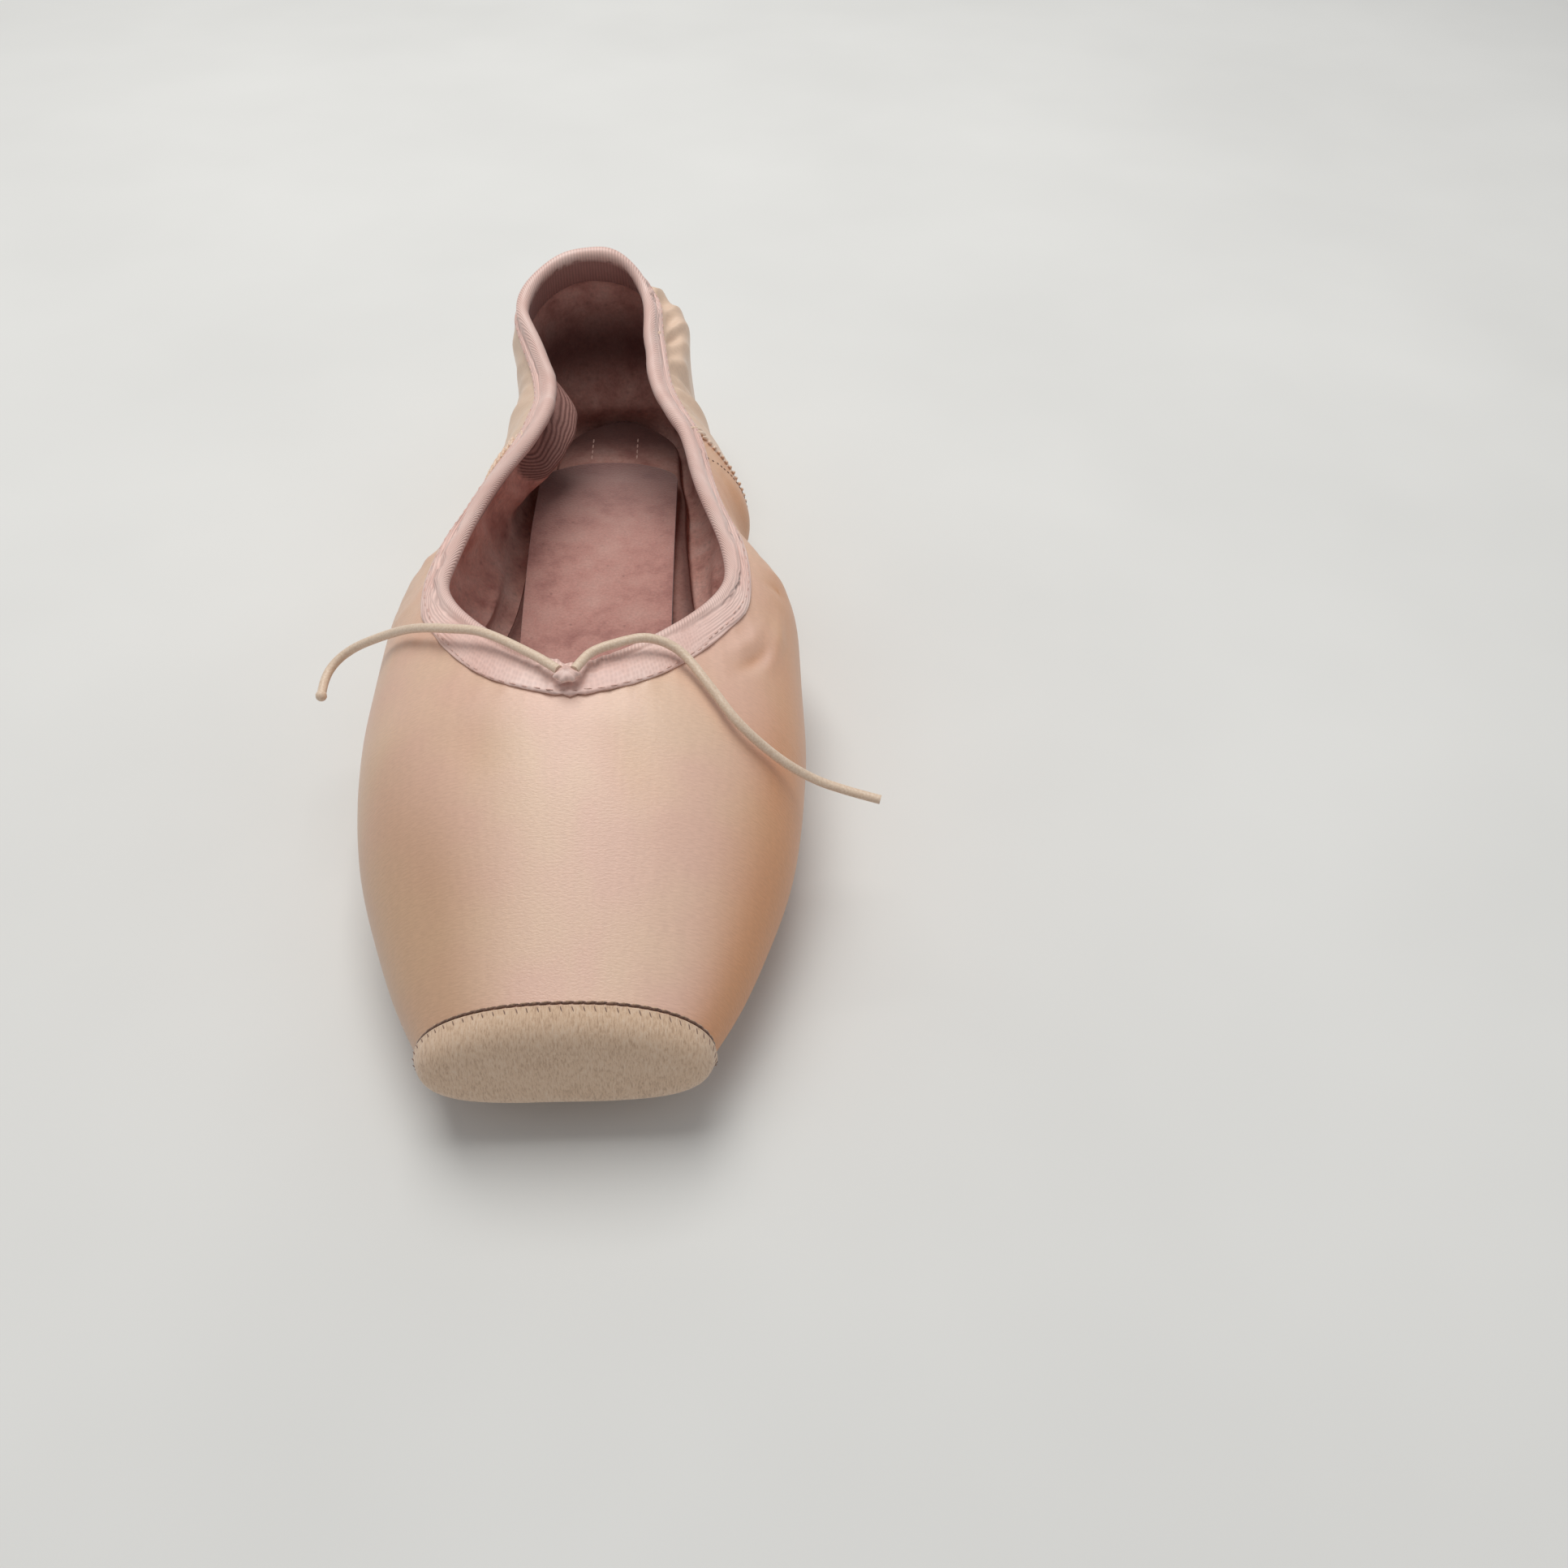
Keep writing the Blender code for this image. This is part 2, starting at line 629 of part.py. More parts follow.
# The free ends of the drawstring: across, distance from the toe and height, in millimetres,
# chosen by hand from the throat outwards
LEFT_END_ROUTE = [
    (-1.9, 62.8, 53.6), (-7.1, 67.4, 53.4), (-16.7, 74.6, 52.6), (-24.0, 78.2, 50.7),
    (-32.0, 83.8, 46.2), (-39.0, 88.8, 40.6), (-47.1, 91.5, 35.0), (-51.6, 89.9, 32.2),
    (-53.2, 85.6, 31.0), (-53.2, 81.6, 30.5),
]
RIGHT_END_ROUTE = [
    (0.9, 62.7, 53.6), (3.6, 67.6, 53.4), (8.3, 70.4, 53.3), (14.0, 72.2, 52.9),
    (19.8, 70.8, 50.8), (25.2, 64.2, 48.0), (30.7, 57.8, 44.2), (37.8, 55.2, 37.9),
    (44.6, 54.3, 33.0), (51.1, 52.7, 31.2), (57.2, 50.9, 30.5),
]


def cord_points(route):
    """Evenly spaced points of a smooth curve through a route."""
    knots = [Vector(p) * 0.001 for p in route]
    knots = [2 * knots[0] - knots[1], *knots, 2 * knots[-1] - knots[-2]]
    fine = []
    for a, b, c, d in zip(knots, knots[1:], knots[2:], knots[3:]):
        for i in range(CORD_STEPS):
            t = i / CORD_STEPS
            fine.append(0.5 * (2 * b + (c - a) * t + (2 * a - 5 * b + 4 * c - d) * t * t
                               + (3 * b - a - 3 * c + d) * t ** 3))
    fine.append(knots[-2])
    spacing = 2 * CORD_DIAMETER
    picked = [fine[0]]
    for point in fine:
        if (point - picked[-1]).length >= spacing:
            picked.append(point)
    picked[-1] = fine[-1]
    return [placed(p) for p in picked]


def make_cord(name, route, finish):
    curve = bpy.data.curves.new(name, "CURVE")
    curve.dimensions = "3D"
    curve.bevel_depth = CORD_DIAMETER / 2
    curve.bevel_resolution = 2
    curve.use_fill_caps = True
    points = cord_points(route)
    spline = curve.splines.new("POLY")
    spline.points.add(len(points) - 1)
    for target, point in zip(spline.points, points):
        target.co = (*point, 1.0)
    curve.materials.append(finish)
    cord = bpy.data.objects.new(name, curve)
    bpy.context.scene.collection.objects.link(cord)
    return cord


def main():
    for old in list(bpy.data.objects):
        bpy.data.objects.remove(old)
    satin = material("peach satin", (0.86, 0.66, 0.52), 0.38)
    suede = material("suede tip", (0.66, 0.50, 0.39), 0.9)
    leather = material("sole leather", (0.62, 0.45, 0.33), 0.7)
    lining = material("pink lining", (0.44, 0.23, 0.22), 0.95)
    tape = material("pink tape", (0.75, 0.52, 0.48), 0.6)
    cord = material("drawstring", (0.75, 0.62, 0.50), 0.7)
    make_upper(satin)
    make_toe_patch(suede)
    make_heel_strip(satin)
    make_plate("outsole", sole_half, SOLE_START, SOLE_END,
               lambda along: sole_top(along) - SOLE_THICKNESS, SOLE_THICKNESS, SOLE_EDGE, leather)
    make_plate("insole", insole_half, INSOLE_START, INSOLE_END, insole_low, INSOLE_THICKNESS, 0.0, lining)
    make_plate("sock_pad", pad_half, PAD_START, PAD_END, pad_low, PAD_THICKNESS, PAD_EDGE, lining,
               shift=PAD_SHIFT)
    make_binding(tape)
    make_cord("drawstring_left", LEFT_END_ROUTE, cord)
    make_cord("drawstring_right", RIGHT_END_ROUTE, cord)


main()
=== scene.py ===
# %% [markdown]
# # A pointe shoe, dressed
#
# The imported solids give every piece its place and its size. This lesson copies the soft ones,
# smooths them, presses the folds in and gives each cloth, leather and thread its finish.
# The shoe's frame has X across, the toe at -Y, the heel at +Y and the floor at Z = 0. Blender
# counts in metres. Places in lists, and x, y and z in the formulas, are millimetres.

# %% Load the imported solids
import math

import bmesh
import bpy
import numpy as np
from mathutils import Matrix, Vector
from mathutils.bvhtree import BVHTree


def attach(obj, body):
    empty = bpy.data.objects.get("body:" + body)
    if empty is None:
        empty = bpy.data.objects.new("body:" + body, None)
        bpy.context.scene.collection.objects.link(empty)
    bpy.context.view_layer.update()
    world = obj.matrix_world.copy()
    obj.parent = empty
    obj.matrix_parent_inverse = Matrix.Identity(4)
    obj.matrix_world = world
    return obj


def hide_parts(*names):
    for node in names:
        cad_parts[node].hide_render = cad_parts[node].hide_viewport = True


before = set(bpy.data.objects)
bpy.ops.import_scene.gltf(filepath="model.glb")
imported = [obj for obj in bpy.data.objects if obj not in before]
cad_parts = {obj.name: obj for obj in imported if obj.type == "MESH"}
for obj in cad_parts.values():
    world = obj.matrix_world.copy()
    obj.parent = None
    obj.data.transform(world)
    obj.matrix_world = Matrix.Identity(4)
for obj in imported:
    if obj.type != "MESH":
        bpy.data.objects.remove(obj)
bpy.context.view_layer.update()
scene = bpy.context.scene
MM = 0.001
print("solids:", ", ".join(sorted(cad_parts)))

# %% [markdown]
# ## The camera
# The photograph looks down at the toe from in front. Its lens is about as wide as a phone's.
# The camera's axes are built from how far it turns, tilts and rolls, which is easier to correct
# than three Euler angles.

# %% Camera
PHOTO_PIXELS = 1932
FOCAL_PIXELS = 1600
TURN = math.radians(4.0)
TILT = math.radians(46.5)
ROLL = math.radians(2.0)
CAMERA_PLACE = Vector((0.02718, -0.22852, 0.21051))

level = Vector((math.cos(TURN), -math.sin(TURN), 0))
upward = Vector((math.sin(TURN) * math.sin(TILT), math.cos(TURN) * math.sin(TILT), math.cos(TILT)))
side_axis = math.cos(ROLL) * level + math.sin(ROLL) * upward
up_axis = math.cos(ROLL) * upward - math.sin(ROLL) * level
back_axis = side_axis.cross(up_axis)
lens = bpy.data.cameras.new("photo_camera")
lens.sensor_width = 36
lens.lens = lens.sensor_width * FOCAL_PIXELS / PHOTO_PIXELS
lens.clip_start = 0.01
camera = bpy.data.objects.new("photo_camera", lens)
scene.collection.objects.link(camera)
turned = Matrix((side_axis, up_axis, back_axis)).transposed()
camera.matrix_world = Matrix.Translation(CAMERA_PLACE) @ turned.to_4x4()
scene.camera = camera
scene.view_settings.view_transform = "Standard"
print(f"lens {lens.lens:.1f} mm, {CAMERA_PLACE.length * 100:.0f} cm from the shoe's middle")

# %% [markdown]
# ## Colours and finishes
# Colours are written as they look on a screen, and one function turns them to the linear
# values that Blender mixes. A finish is a material that is built up from short calls, so that
# each cloth below reads as a short list of what it is made of.

# %% Helpers for materials


def linear(hex_colour):
    """A screen colour such as E8C4A8 as linear red, green, blue and alpha."""
    parts = [int(hex_colour[i:i + 2], 16) / 255 for i in (0, 2, 4)]
    return (*[c / 12.92 if c <= 0.04045 else ((c + 0.055) / 1.055) ** 2.4 for c in parts], 1.0)


class Finish:
    """A Principled material. Most calls add one node and give back its output for the next."""

    def __init__(self, name, **sockets):
        self.material = bpy.data.materials.new(name)
        self.material.use_nodes = True
        self.tree = self.material.node_tree
        self.shader = self.tree.nodes["Principled BSDF"]
        self.fill(self.shader, {key.replace("_", " "): value for key, value in sockets.items()})

    def fill(self, node, inputs):
        """Sets a node's inputs to values and hex colours, or links them to other outputs."""
        for key, value in inputs.items():
            if isinstance(value, bpy.types.NodeSocket):
                self.tree.links.new(value, node.inputs[key])
            else:
                node.inputs[key].default_value = linear(value) if isinstance(value, str) else value

    def add(self, kind, output, inputs=None, **settings):
        made = self.tree.nodes.new("ShaderNode" + kind)
        for key, value in settings.items():
            setattr(made, key, value)
        self.fill(made, inputs or {})
        return made.outputs[output]

    def spot(self):
        """The place on the object, in metres."""
        return self.add("TexCoord", "Object")

    def cloth(self):
        """The place on the cloth, in millimetres."""
        return self.add("UVMap", "UV", uv_map="cloth")

    def attribute(self, name):
        return self.add("Attribute", "Fac", attribute_name=name)

    def scaled(self, place, scale):
        return self.add("Mapping", "Vector", {"Vector": place, "Scale": scale},
                        vector_type="POINT")

    def noise(self, place, scale, detail=2.0, roughness=0.5, distortion=0.0, dimensions="3D"):
        return self.add("TexNoise", "Fac", {"Vector": place, "Scale": scale, "Detail": detail,
                                            "Roughness": roughness, "Distortion": distortion},
                        noise_dimensions=dimensions)

    def cells(self, place, scale, randomness=1.0, **settings):
        return self.add("TexVoronoi", "Distance",
                        {"Vector": place, "Scale": scale, "Randomness": randomness}, **settings)

    def bands(self, place, axis, scale, distortion, detail_scale):
        return self.add("TexWave", "Fac", {"Vector": place, "Scale": scale, "Detail": 2.0,
                                           "Distortion": distortion,
                                           "Detail Scale": detail_scale},
                        wave_type="BANDS", bands_direction=axis)

    def between(self, value, low, high, to_low=0.0, to_high=1.0):
        """Stretches the values from low to high to another range, and clips the rest."""
        return self.add("MapRange", "Result",
                        {"Value": value, "From Min": low, "From Max": high,
                         "To Min": to_low, "To Max": to_high})

    def maths(self, operation, *values):
        return self.add("Math", 0, dict(enumerate(values)), operation=operation)

    def ramp(self, value, *stops):
        """Colours that run from stop to stop, where a stop is a (place, colour)."""
        colour = self.add("ValToRGB", "Color", {"Fac": value})
        elements = colour.node.color_ramp.elements
        while len(elements) < len(stops):
            elements.new(0.5)
        for element, (place, hex_colour) in zip(elements, stops):
            element.position = place
            element.color = linear(hex_colour)
        return colour

    def mix(self, share, first, second):
        """The first colour at share 0 and the second at share 1."""
        return self.add("Mix", 2, {0: share, 6: first, 7: second}, data_type="RGBA")

    def mix_values(self, share, first, second):
        return self.add("Mix", 0, {0: share, 2: first, 3: second}, data_type="FLOAT")

    def shade(self, colour, *values):
        """A colour times one or two values."""
        by = self.maths("MULTIPLY", *values) if len(values) == 2 else values[0]
        return self.add("Mix", 2, {0: 1.0, 6: colour, 7: by}, data_type="RGBA",
                        blend_type="MULTIPLY")

    def wear(self, colour, height=None, strength=0.0, distance=0.0):
        """Gives the shader its colour and its relief, and gives back the material."""
        self.fill(self.shader, {"Base Color": colour})
        if height is not None:
            relief = {"Height": height, "Strength": strength, "Distance": distance}
            self.fill(self.shader, {"Normal": self.add("Bump", "Normal", relief)})
        print(f"{self.material.name}: {len(self.tree.nodes)} nodes")
        return self.material


# %% [markdown]
# ## Small tools for pieces
# Each soft piece starts as a smoothed copy of its solid. Its points are read as arrays, moved
# by a formula and written back.

# %% Helpers for pieces
MERGE_GAP = 0.01 * MM
FLAT_PAIR, SQUARE_PAIR = math.radians(50), math.radians(70)


def only(piece):
    """Makes a piece the one that operators act on."""
    bpy.ops.object.select_all(action="DESELECT")
    piece.select_set(True)
    bpy.context.view_layer.objects.active = piece


def smoothed_copy(node, name, levels):
    """A CAD solid's copy with its points merged, its triangles paired to quads and its
    surface smoothed."""
    piece = bpy.data.objects.new(name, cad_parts[node].data.copy())
    scene.collection.objects.link(piece)
    piece.data.materials.clear()
    only(piece)
    if piece.data.has_custom_normals:
        bpy.ops.mesh.customdata_custom_splitnormals_clear()
    bpy.ops.object.mode_set(mode="EDIT")
    bpy.ops.mesh.select_all(action="SELECT")
    bpy.ops.mesh.remove_doubles(threshold=MERGE_GAP)
    bpy.ops.mesh.tris_convert_to_quads(face_threshold=FLAT_PAIR, shape_threshold=SQUARE_PAIR)
    bpy.ops.object.mode_set(mode="OBJECT")
    smooth = piece.modifiers.new("smooth", "SUBSURF")
    smooth.levels = smooth.render_levels = levels
    bpy.ops.object.modifier_apply(modifier="smooth")
    bpy.ops.object.shade_smooth()
    return piece


def new_ball(name, segments, rings, radius):
    bpy.ops.object.select_all(action="DESELECT")
    bpy.ops.mesh.primitive_uv_sphere_add(segments=segments, ring_count=rings, radius=radius)
    bpy.context.object.name = name
    return bpy.context.object


def read_rows(items, name):
    """A vector of each point or face as the rows of an array."""
    rows = np.zeros(len(items) * 3)
    items.foreach_get(name, rows)
    return rows.reshape(-1, 3)


def read_numbers(items, name):
    numbers = np.zeros(len(items), int)
    items.foreach_get(name, numbers)
    return numbers


def read_points(piece):
    """A piece's points and their normals."""
    return read_rows(piece.data.vertices, "co"), read_rows(piece.data.vertex_normals, "vector")


def write_points(piece, places):
    piece.data.vertices.foreach_set("co", places.ravel())
    piece.data.update()


def read_faces(piece):
    """The middles of a piece's faces and their normals."""
    return read_rows(piece.data.polygons, "center"), read_rows(piece.data.polygons, "normal")


def write_attribute(piece, name, values):
    layer = piece.data.attributes.new(name, "FLOAT", "POINT")
    layer.data.foreach_set("value", np.asarray(values, np.float32))


def tree_of(piece):
    """A search tree over a piece's faces."""
    bm = bmesh.new()
    bm.from_mesh(piece.data)
    made = BVHTree.FromBMesh(bm)
    bm.free()
    return made


def near_line(places, line):
    """How far each point is from a line of straight runs, and how far along it, 0 to 1."""
    line = np.asarray(line, float)
    steps = np.linalg.norm(np.diff(line, axis=0), axis=1)
    before = np.concatenate([[0], np.cumsum(steps)])
    best = np.full(len(places), np.inf)
    along = np.zeros(len(places))
    for a, b, start, run in zip(line, line[1:], before, steps):
        t = np.clip((places - a) @ (b - a) / run ** 2, 0, 1)
        away = np.linalg.norm(places - a - t[:, None] * (b - a), axis=1)
        closer = away < best
        best[closer] = away[closer]
        along[closer] = (start + t * run)[closer]
    return best, along / before[-1]


def rise(x, start, end):
    """0 before the start, 1 past the end, and a smooth rise between. The end may be lower."""
    x = np.clip((x - start) / (end - start), 0, 1)
    return x * x * (3 - 2 * x)


def dots(first, second):
    """The dot products of two lists of vectors, row by row."""
    return np.einsum("ij,ij->i", first, second)


def unit(rows):
    return rows / np.linalg.norm(rows, axis=1)[:, None]


print("helpers ready")

# %% [markdown]
# ## The drawstring's ends
# The two ends of the drawstring leave the casing at the throat and lie over the vamp. Each is
# a smooth curve with a round section, on the same route as its solid. Woven cotton this thin
# is limp, so it follows what it lies on and droops past the edge of the shoe.

# %% Routes and curves
CORD_DIAMETER = 1.8 * MM
CORD_SPACING = 2.6 * MM
CURVE_STEPS = 40
LEFT_END = [
    (-1.9, -50.7, 53.6), (-7.1, -46.1, 53.4), (-16.7, -38.9, 52.6), (-24.0, -35.3, 50.7),
    (-32.0, -29.7, 46.2), (-39.0, -24.7, 40.6), (-47.1, -22.0, 35.0), (-51.6, -23.6, 32.2),
    (-53.2, -27.9, 31.0), (-53.2, -31.9, 30.5),
]
RIGHT_END = [
    (0.9, -50.8, 53.6), (3.6, -45.9, 53.4), (8.3, -43.1, 53.3), (14.0, -41.3, 52.9),
    (19.8, -42.7, 50.8), (25.2, -49.3, 48.0), (30.7, -55.7, 44.2), (37.8, -58.3, 37.9),
    (44.6, -59.2, 33.0), (51.1, -60.8, 31.2), (57.2, -62.6, 30.5),
]


def smooth_line(route, spacing):
    """Evenly spaced points of a smooth curve through a route of places in millimetres."""
    knots = [Vector(place) * MM for place in route]
    knots = [2 * knots[0] - knots[1], *knots, 2 * knots[-1] - knots[-2]]
    fine = []
    for a, b, c, d in zip(knots, knots[1:], knots[2:], knots[3:]):
        for i in range(CURVE_STEPS):
            t = i / CURVE_STEPS
            fine.append(0.5 * (2 * b + (c - a) * t + (2 * a - 5 * b + 4 * c - d) * t * t
                               + (3 * b - a - 3 * c + d) * t ** 3))
    fine.append(knots[-2])
    picked = [fine[0]]
    for point in fine:
        if (point - picked[-1]).length >= spacing:
            picked.append(point)
    picked[-1] = fine[-1]
    return picked


def run_length(points):
    return sum((b - a).length for a, b in zip(points, points[1:]))


cords = {}
for side, route in (("left", LEFT_END), ("right", RIGHT_END)):
    points = smooth_line(route, CORD_SPACING)
    curve = bpy.data.curves.new(f"cord_{side}", "CURVE")
    curve.dimensions = "3D"
    curve.bevel_depth = CORD_DIAMETER / 2
    curve.bevel_resolution = 5
    curve.resolution_u = 6
    curve.use_fill_caps = True
    spline = curve.splines.new("BEZIER")
    spline.bezier_points.add(len(points) - 1)
    for target, point in zip(spline.bezier_points, points):
        target.co = point
        target.handle_left_type = target.handle_right_type = "AUTO"
    cord = bpy.data.objects.new(f"cord_{side}", curve)
    scene.collection.objects.link(cord)
    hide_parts(f"drawstring_{side}")
    cords[side] = (cord, points)
    print(f"{cord.name}: {run_length(points) * 1000:.0f} mm on {len(points)} points")

# %% [markdown]
# ## The upper
# The real upper is satin over canvas, stiff with paste at the toe and soft behind it. Its copy
# is smoothed until its quads are about a millimetre, which is fine enough for folds. The
# outer side is satin and the inner side is brushed lining, so each face gets one of the two
# from whether it looks away from the inside of the shoe or towards it.

# %% Copy and divide the upper
# The middle line inside the shoe: its place across and up, and its ends at the toe and the heel
MIDDLE_X, MIDDLE_Z = -2 * MM, 20 * MM
MIDDLE_TOE, MIDDLE_HEEL = -95 * MM, 88 * MM
upper = smoothed_copy("upper", "satin_upper", 2)


def looks_out(places, normals):
    """True where a surface looks away from the middle line inside the shoe."""
    middle = np.zeros_like(places)
    middle[:, 0] = MIDDLE_X
    middle[:, 1] = np.clip(places[:, 1], MIDDLE_TOE, MIDDLE_HEEL)
    middle[:, 2] = MIDDLE_Z
    return dots(places - middle, normals) > 0


def divide(piece, wanted):
    """Cuts the wanted faces in four."""
    only(piece)
    for parts in (piece.data.vertices, piece.data.edges):
        parts.foreach_set("select", np.zeros(len(parts), bool))
    piece.data.polygons.foreach_set("select", wanted)
    bpy.ops.object.mode_set(mode="EDIT")
    bpy.ops.mesh.select_mode(type="FACE")
    bpy.ops.mesh.subdivide(number_cuts=1)
    bpy.ops.object.mode_set(mode="OBJECT")


middles, normals = read_faces(upper)
x, y, z = (middles / MM).T
out = looks_out(middles, normals)
under_toe = (y < -62) & (normals[:, 2] < -0.45) & (z < 16)
behind = (y > 30) & (z > 22)
shoulders = (y > -52) & (y < 30) & (z > 36)
left_waist = (x < -10) & (np.abs(y - 66) < 30)
divide(upper, out & (under_toe | behind | shoulders) | left_waist)
outer_faces = looks_out(*read_faces(upper))
outer_points = looks_out(*read_points(upper))
print(f"upper: {len(upper.data.polygons)} faces, {outer_faces.sum()} of them satin")

# %% [markdown]
# ## The collar as a line
# Many details follow the collar: the tape's threads, its stitches and the puckers that the
# drawstring makes. The binding's copy is smoothed first, and its middle line is read off by
# the angle round a point inside the heel, from where every part of the collar can be seen.
# Each slot of angle gives one row of a table, and each row is mixed with its neighbours,
# because narrow slots hold few points.

# %% Copy the binding and find its line
COLLAR_EYE = np.array([-2, 58]) * MM
SLOTS = 360
SOFT_REACH = 2 * MM
FEWEST_ROUNDS, MOST_ROUNDS = 6, 90
binding = smoothed_copy("binding", "tape_binding", 2)


def slot_place(places):
    """Where points lie among the slots, as numbers with fractions."""
    angle = np.arctan2(places[:, 1] - COLLAR_EYE[1], places[:, 0] - COLLAR_EYE[0])
    return (angle + math.pi) / (2 * math.pi) * SLOTS


def slot_of(places):
    return slot_place(places).astype(int) % SLOTS


def fill_gaps(table, found):
    """Fills a table of numbers between the slots that were found."""
    return np.interp(np.arange(SLOTS), found, table, period=SLOTS)


def soften(table):
    """Mixes each slot's row with its neighbours' over about 2 mm of the collar."""
    for k in range(soft_rounds.max()):
        mixed = (np.roll(table, 1, axis=0) + 2 * table + np.roll(table, -1, axis=0)) / 4
        table = np.where((k < soft_rounds).reshape(-1, *[1] * (table.ndim - 1)), mixed, table)
    return table


tape_places, _ = read_points(binding)
sums = np.zeros((SLOTS, 4))
np.add.at(sums, slot_of(tape_places), np.column_stack([tape_places, np.ones(len(tape_places))]))
filled = np.where(sums[:, 3] > 0)[0]
eye_reach = np.hypot(*(sums[filled, :2] / sums[filled, 3:] - COLLAR_EYE).T)
slot_width = fill_gaps(eye_reach, filled) * 2 * math.pi / SLOTS
soft_rounds = 2 * (SOFT_REACH / slot_width) ** 2
soft_rounds = np.clip(soft_rounds, FEWEST_ROUNDS, MOST_ROUNDS).astype(int)
sums = soften(sums)
collar = sums[:, :3] / sums[:, 3:]
steps_round = np.linalg.norm(np.roll(collar, -1, axis=0) - collar, axis=1)
collar_run = np.concatenate([[0], np.cumsum(steps_round)])
COLLAR_LENGTH = collar_run[-1]


def turns_round(run, pitch_mm):
    """An angle that turns once in about a pitch, with whole turns round the collar."""
    return 2 * math.pi * round(COLLAR_LENGTH / (pitch_mm * MM)) / COLLAR_LENGTH * run


def round_collar(table, places):
    """A table's rows at the points' places round the collar."""
    slot = slot_place(places) - 0.5
    columns = table.reshape(SLOTS, -1).T
    return np.squeeze(np.stack([np.interp(slot, np.arange(SLOTS), column, period=SLOTS)
                                for column in columns], axis=1))


def run_round(places):
    """How far round the collar points lie, in metres."""
    runs = np.concatenate([[collar_run[-2] - COLLAR_LENGTH], collar_run])
    return np.interp(slot_place(places) - 0.5, np.arange(-1, SLOTS + 1), runs)


def from_collar(places):
    """How far points lie from the collar's line, in millimetres."""
    return np.linalg.norm(places - round_collar(collar, places), axis=1) / MM


# %% Which way the wall's edge looks
# Only wall this near the tape's middle shows which way the edge looks
NEAR_WALL, FAR_WALL = 3.5 * MM, 10 * MM
WALL_SLOTS = 5
TAPE_TOP = 3.2 * MM
ROLL_RADIUS = 2.2 * MM


def section_axes():
    """Which way the wall's edge and its outer face look, and how high the tape stands."""
    wall, _ = read_points(upper)
    up_wall = np.zeros((SLOTS, 3))
    for mask in (outer_points, ~outer_points):
        slot = slot_of(wall[mask])
        gap = collar[slot] - wall[mask]
        far = np.linalg.norm(gap, axis=1)
        near = (far > NEAR_WALL) & (far < FAR_WALL)
        total = np.zeros((SLOTS, 3))
        np.add.at(total, slot[near], gap[near])
        total = sum(np.roll(total, k, axis=0) for k in range(-WALL_SLOTS, WALL_SLOTS + 1))
        up_wall += unit(total + 1e-12)
    run = unit(np.roll(collar, -1, axis=0) - np.roll(collar, 1, axis=0))
    tip = unit(soften(up_wall - dots(up_wall, run)[:, None] * run))
    outward = unit(np.column_stack([collar[:, :2] - COLLAR_EYE, np.zeros(SLOTS)]))
    face = unit(np.cross(run, tip))
    face *= np.sign(dots(face, np.array([0, 0, 0.4]) + outward))[:, None]
    slot = slot_of(tape_places)
    top = np.zeros(SLOTS)
    np.maximum.at(top, slot, dots(tape_places - collar[slot], tip[slot]))
    # the narrow slots at the waist hold few points, so only those that reach the top count
    found = np.where(top > TAPE_TOP)[0]
    return tip, face, soften(fill_gaps(top[found], found))


TIP, FACE, TOP = section_axes()


def on_tape(places):
    """How far below the rolled edge's top points lie, how far to the outer side, and which
    way the edge looks there."""
    off = places - round_collar(collar, places)
    tip = round_collar(TIP, places)
    return round_collar(TOP, places) - dots(off, tip), dots(off, round_collar(FACE, places)), tip


def across_tape(places):
    """The run over the tape from its top: above 0 down the outer leg, below 0 down the inner."""
    below, side, _ = on_tape(places)
    bend = np.arccos(np.clip(1 - below / ROLL_RADIUS, -1, 1)) * ROLL_RADIUS
    straight = ROLL_RADIUS * (math.pi / 2 - 1) + below
    return np.sign(side) * np.where(below < ROLL_RADIUS, bend, straight)


print(f"collar: {COLLAR_LENGTH / MM:.0f} mm round, tape {2 * TOP.mean() / MM:.1f} mm deep")
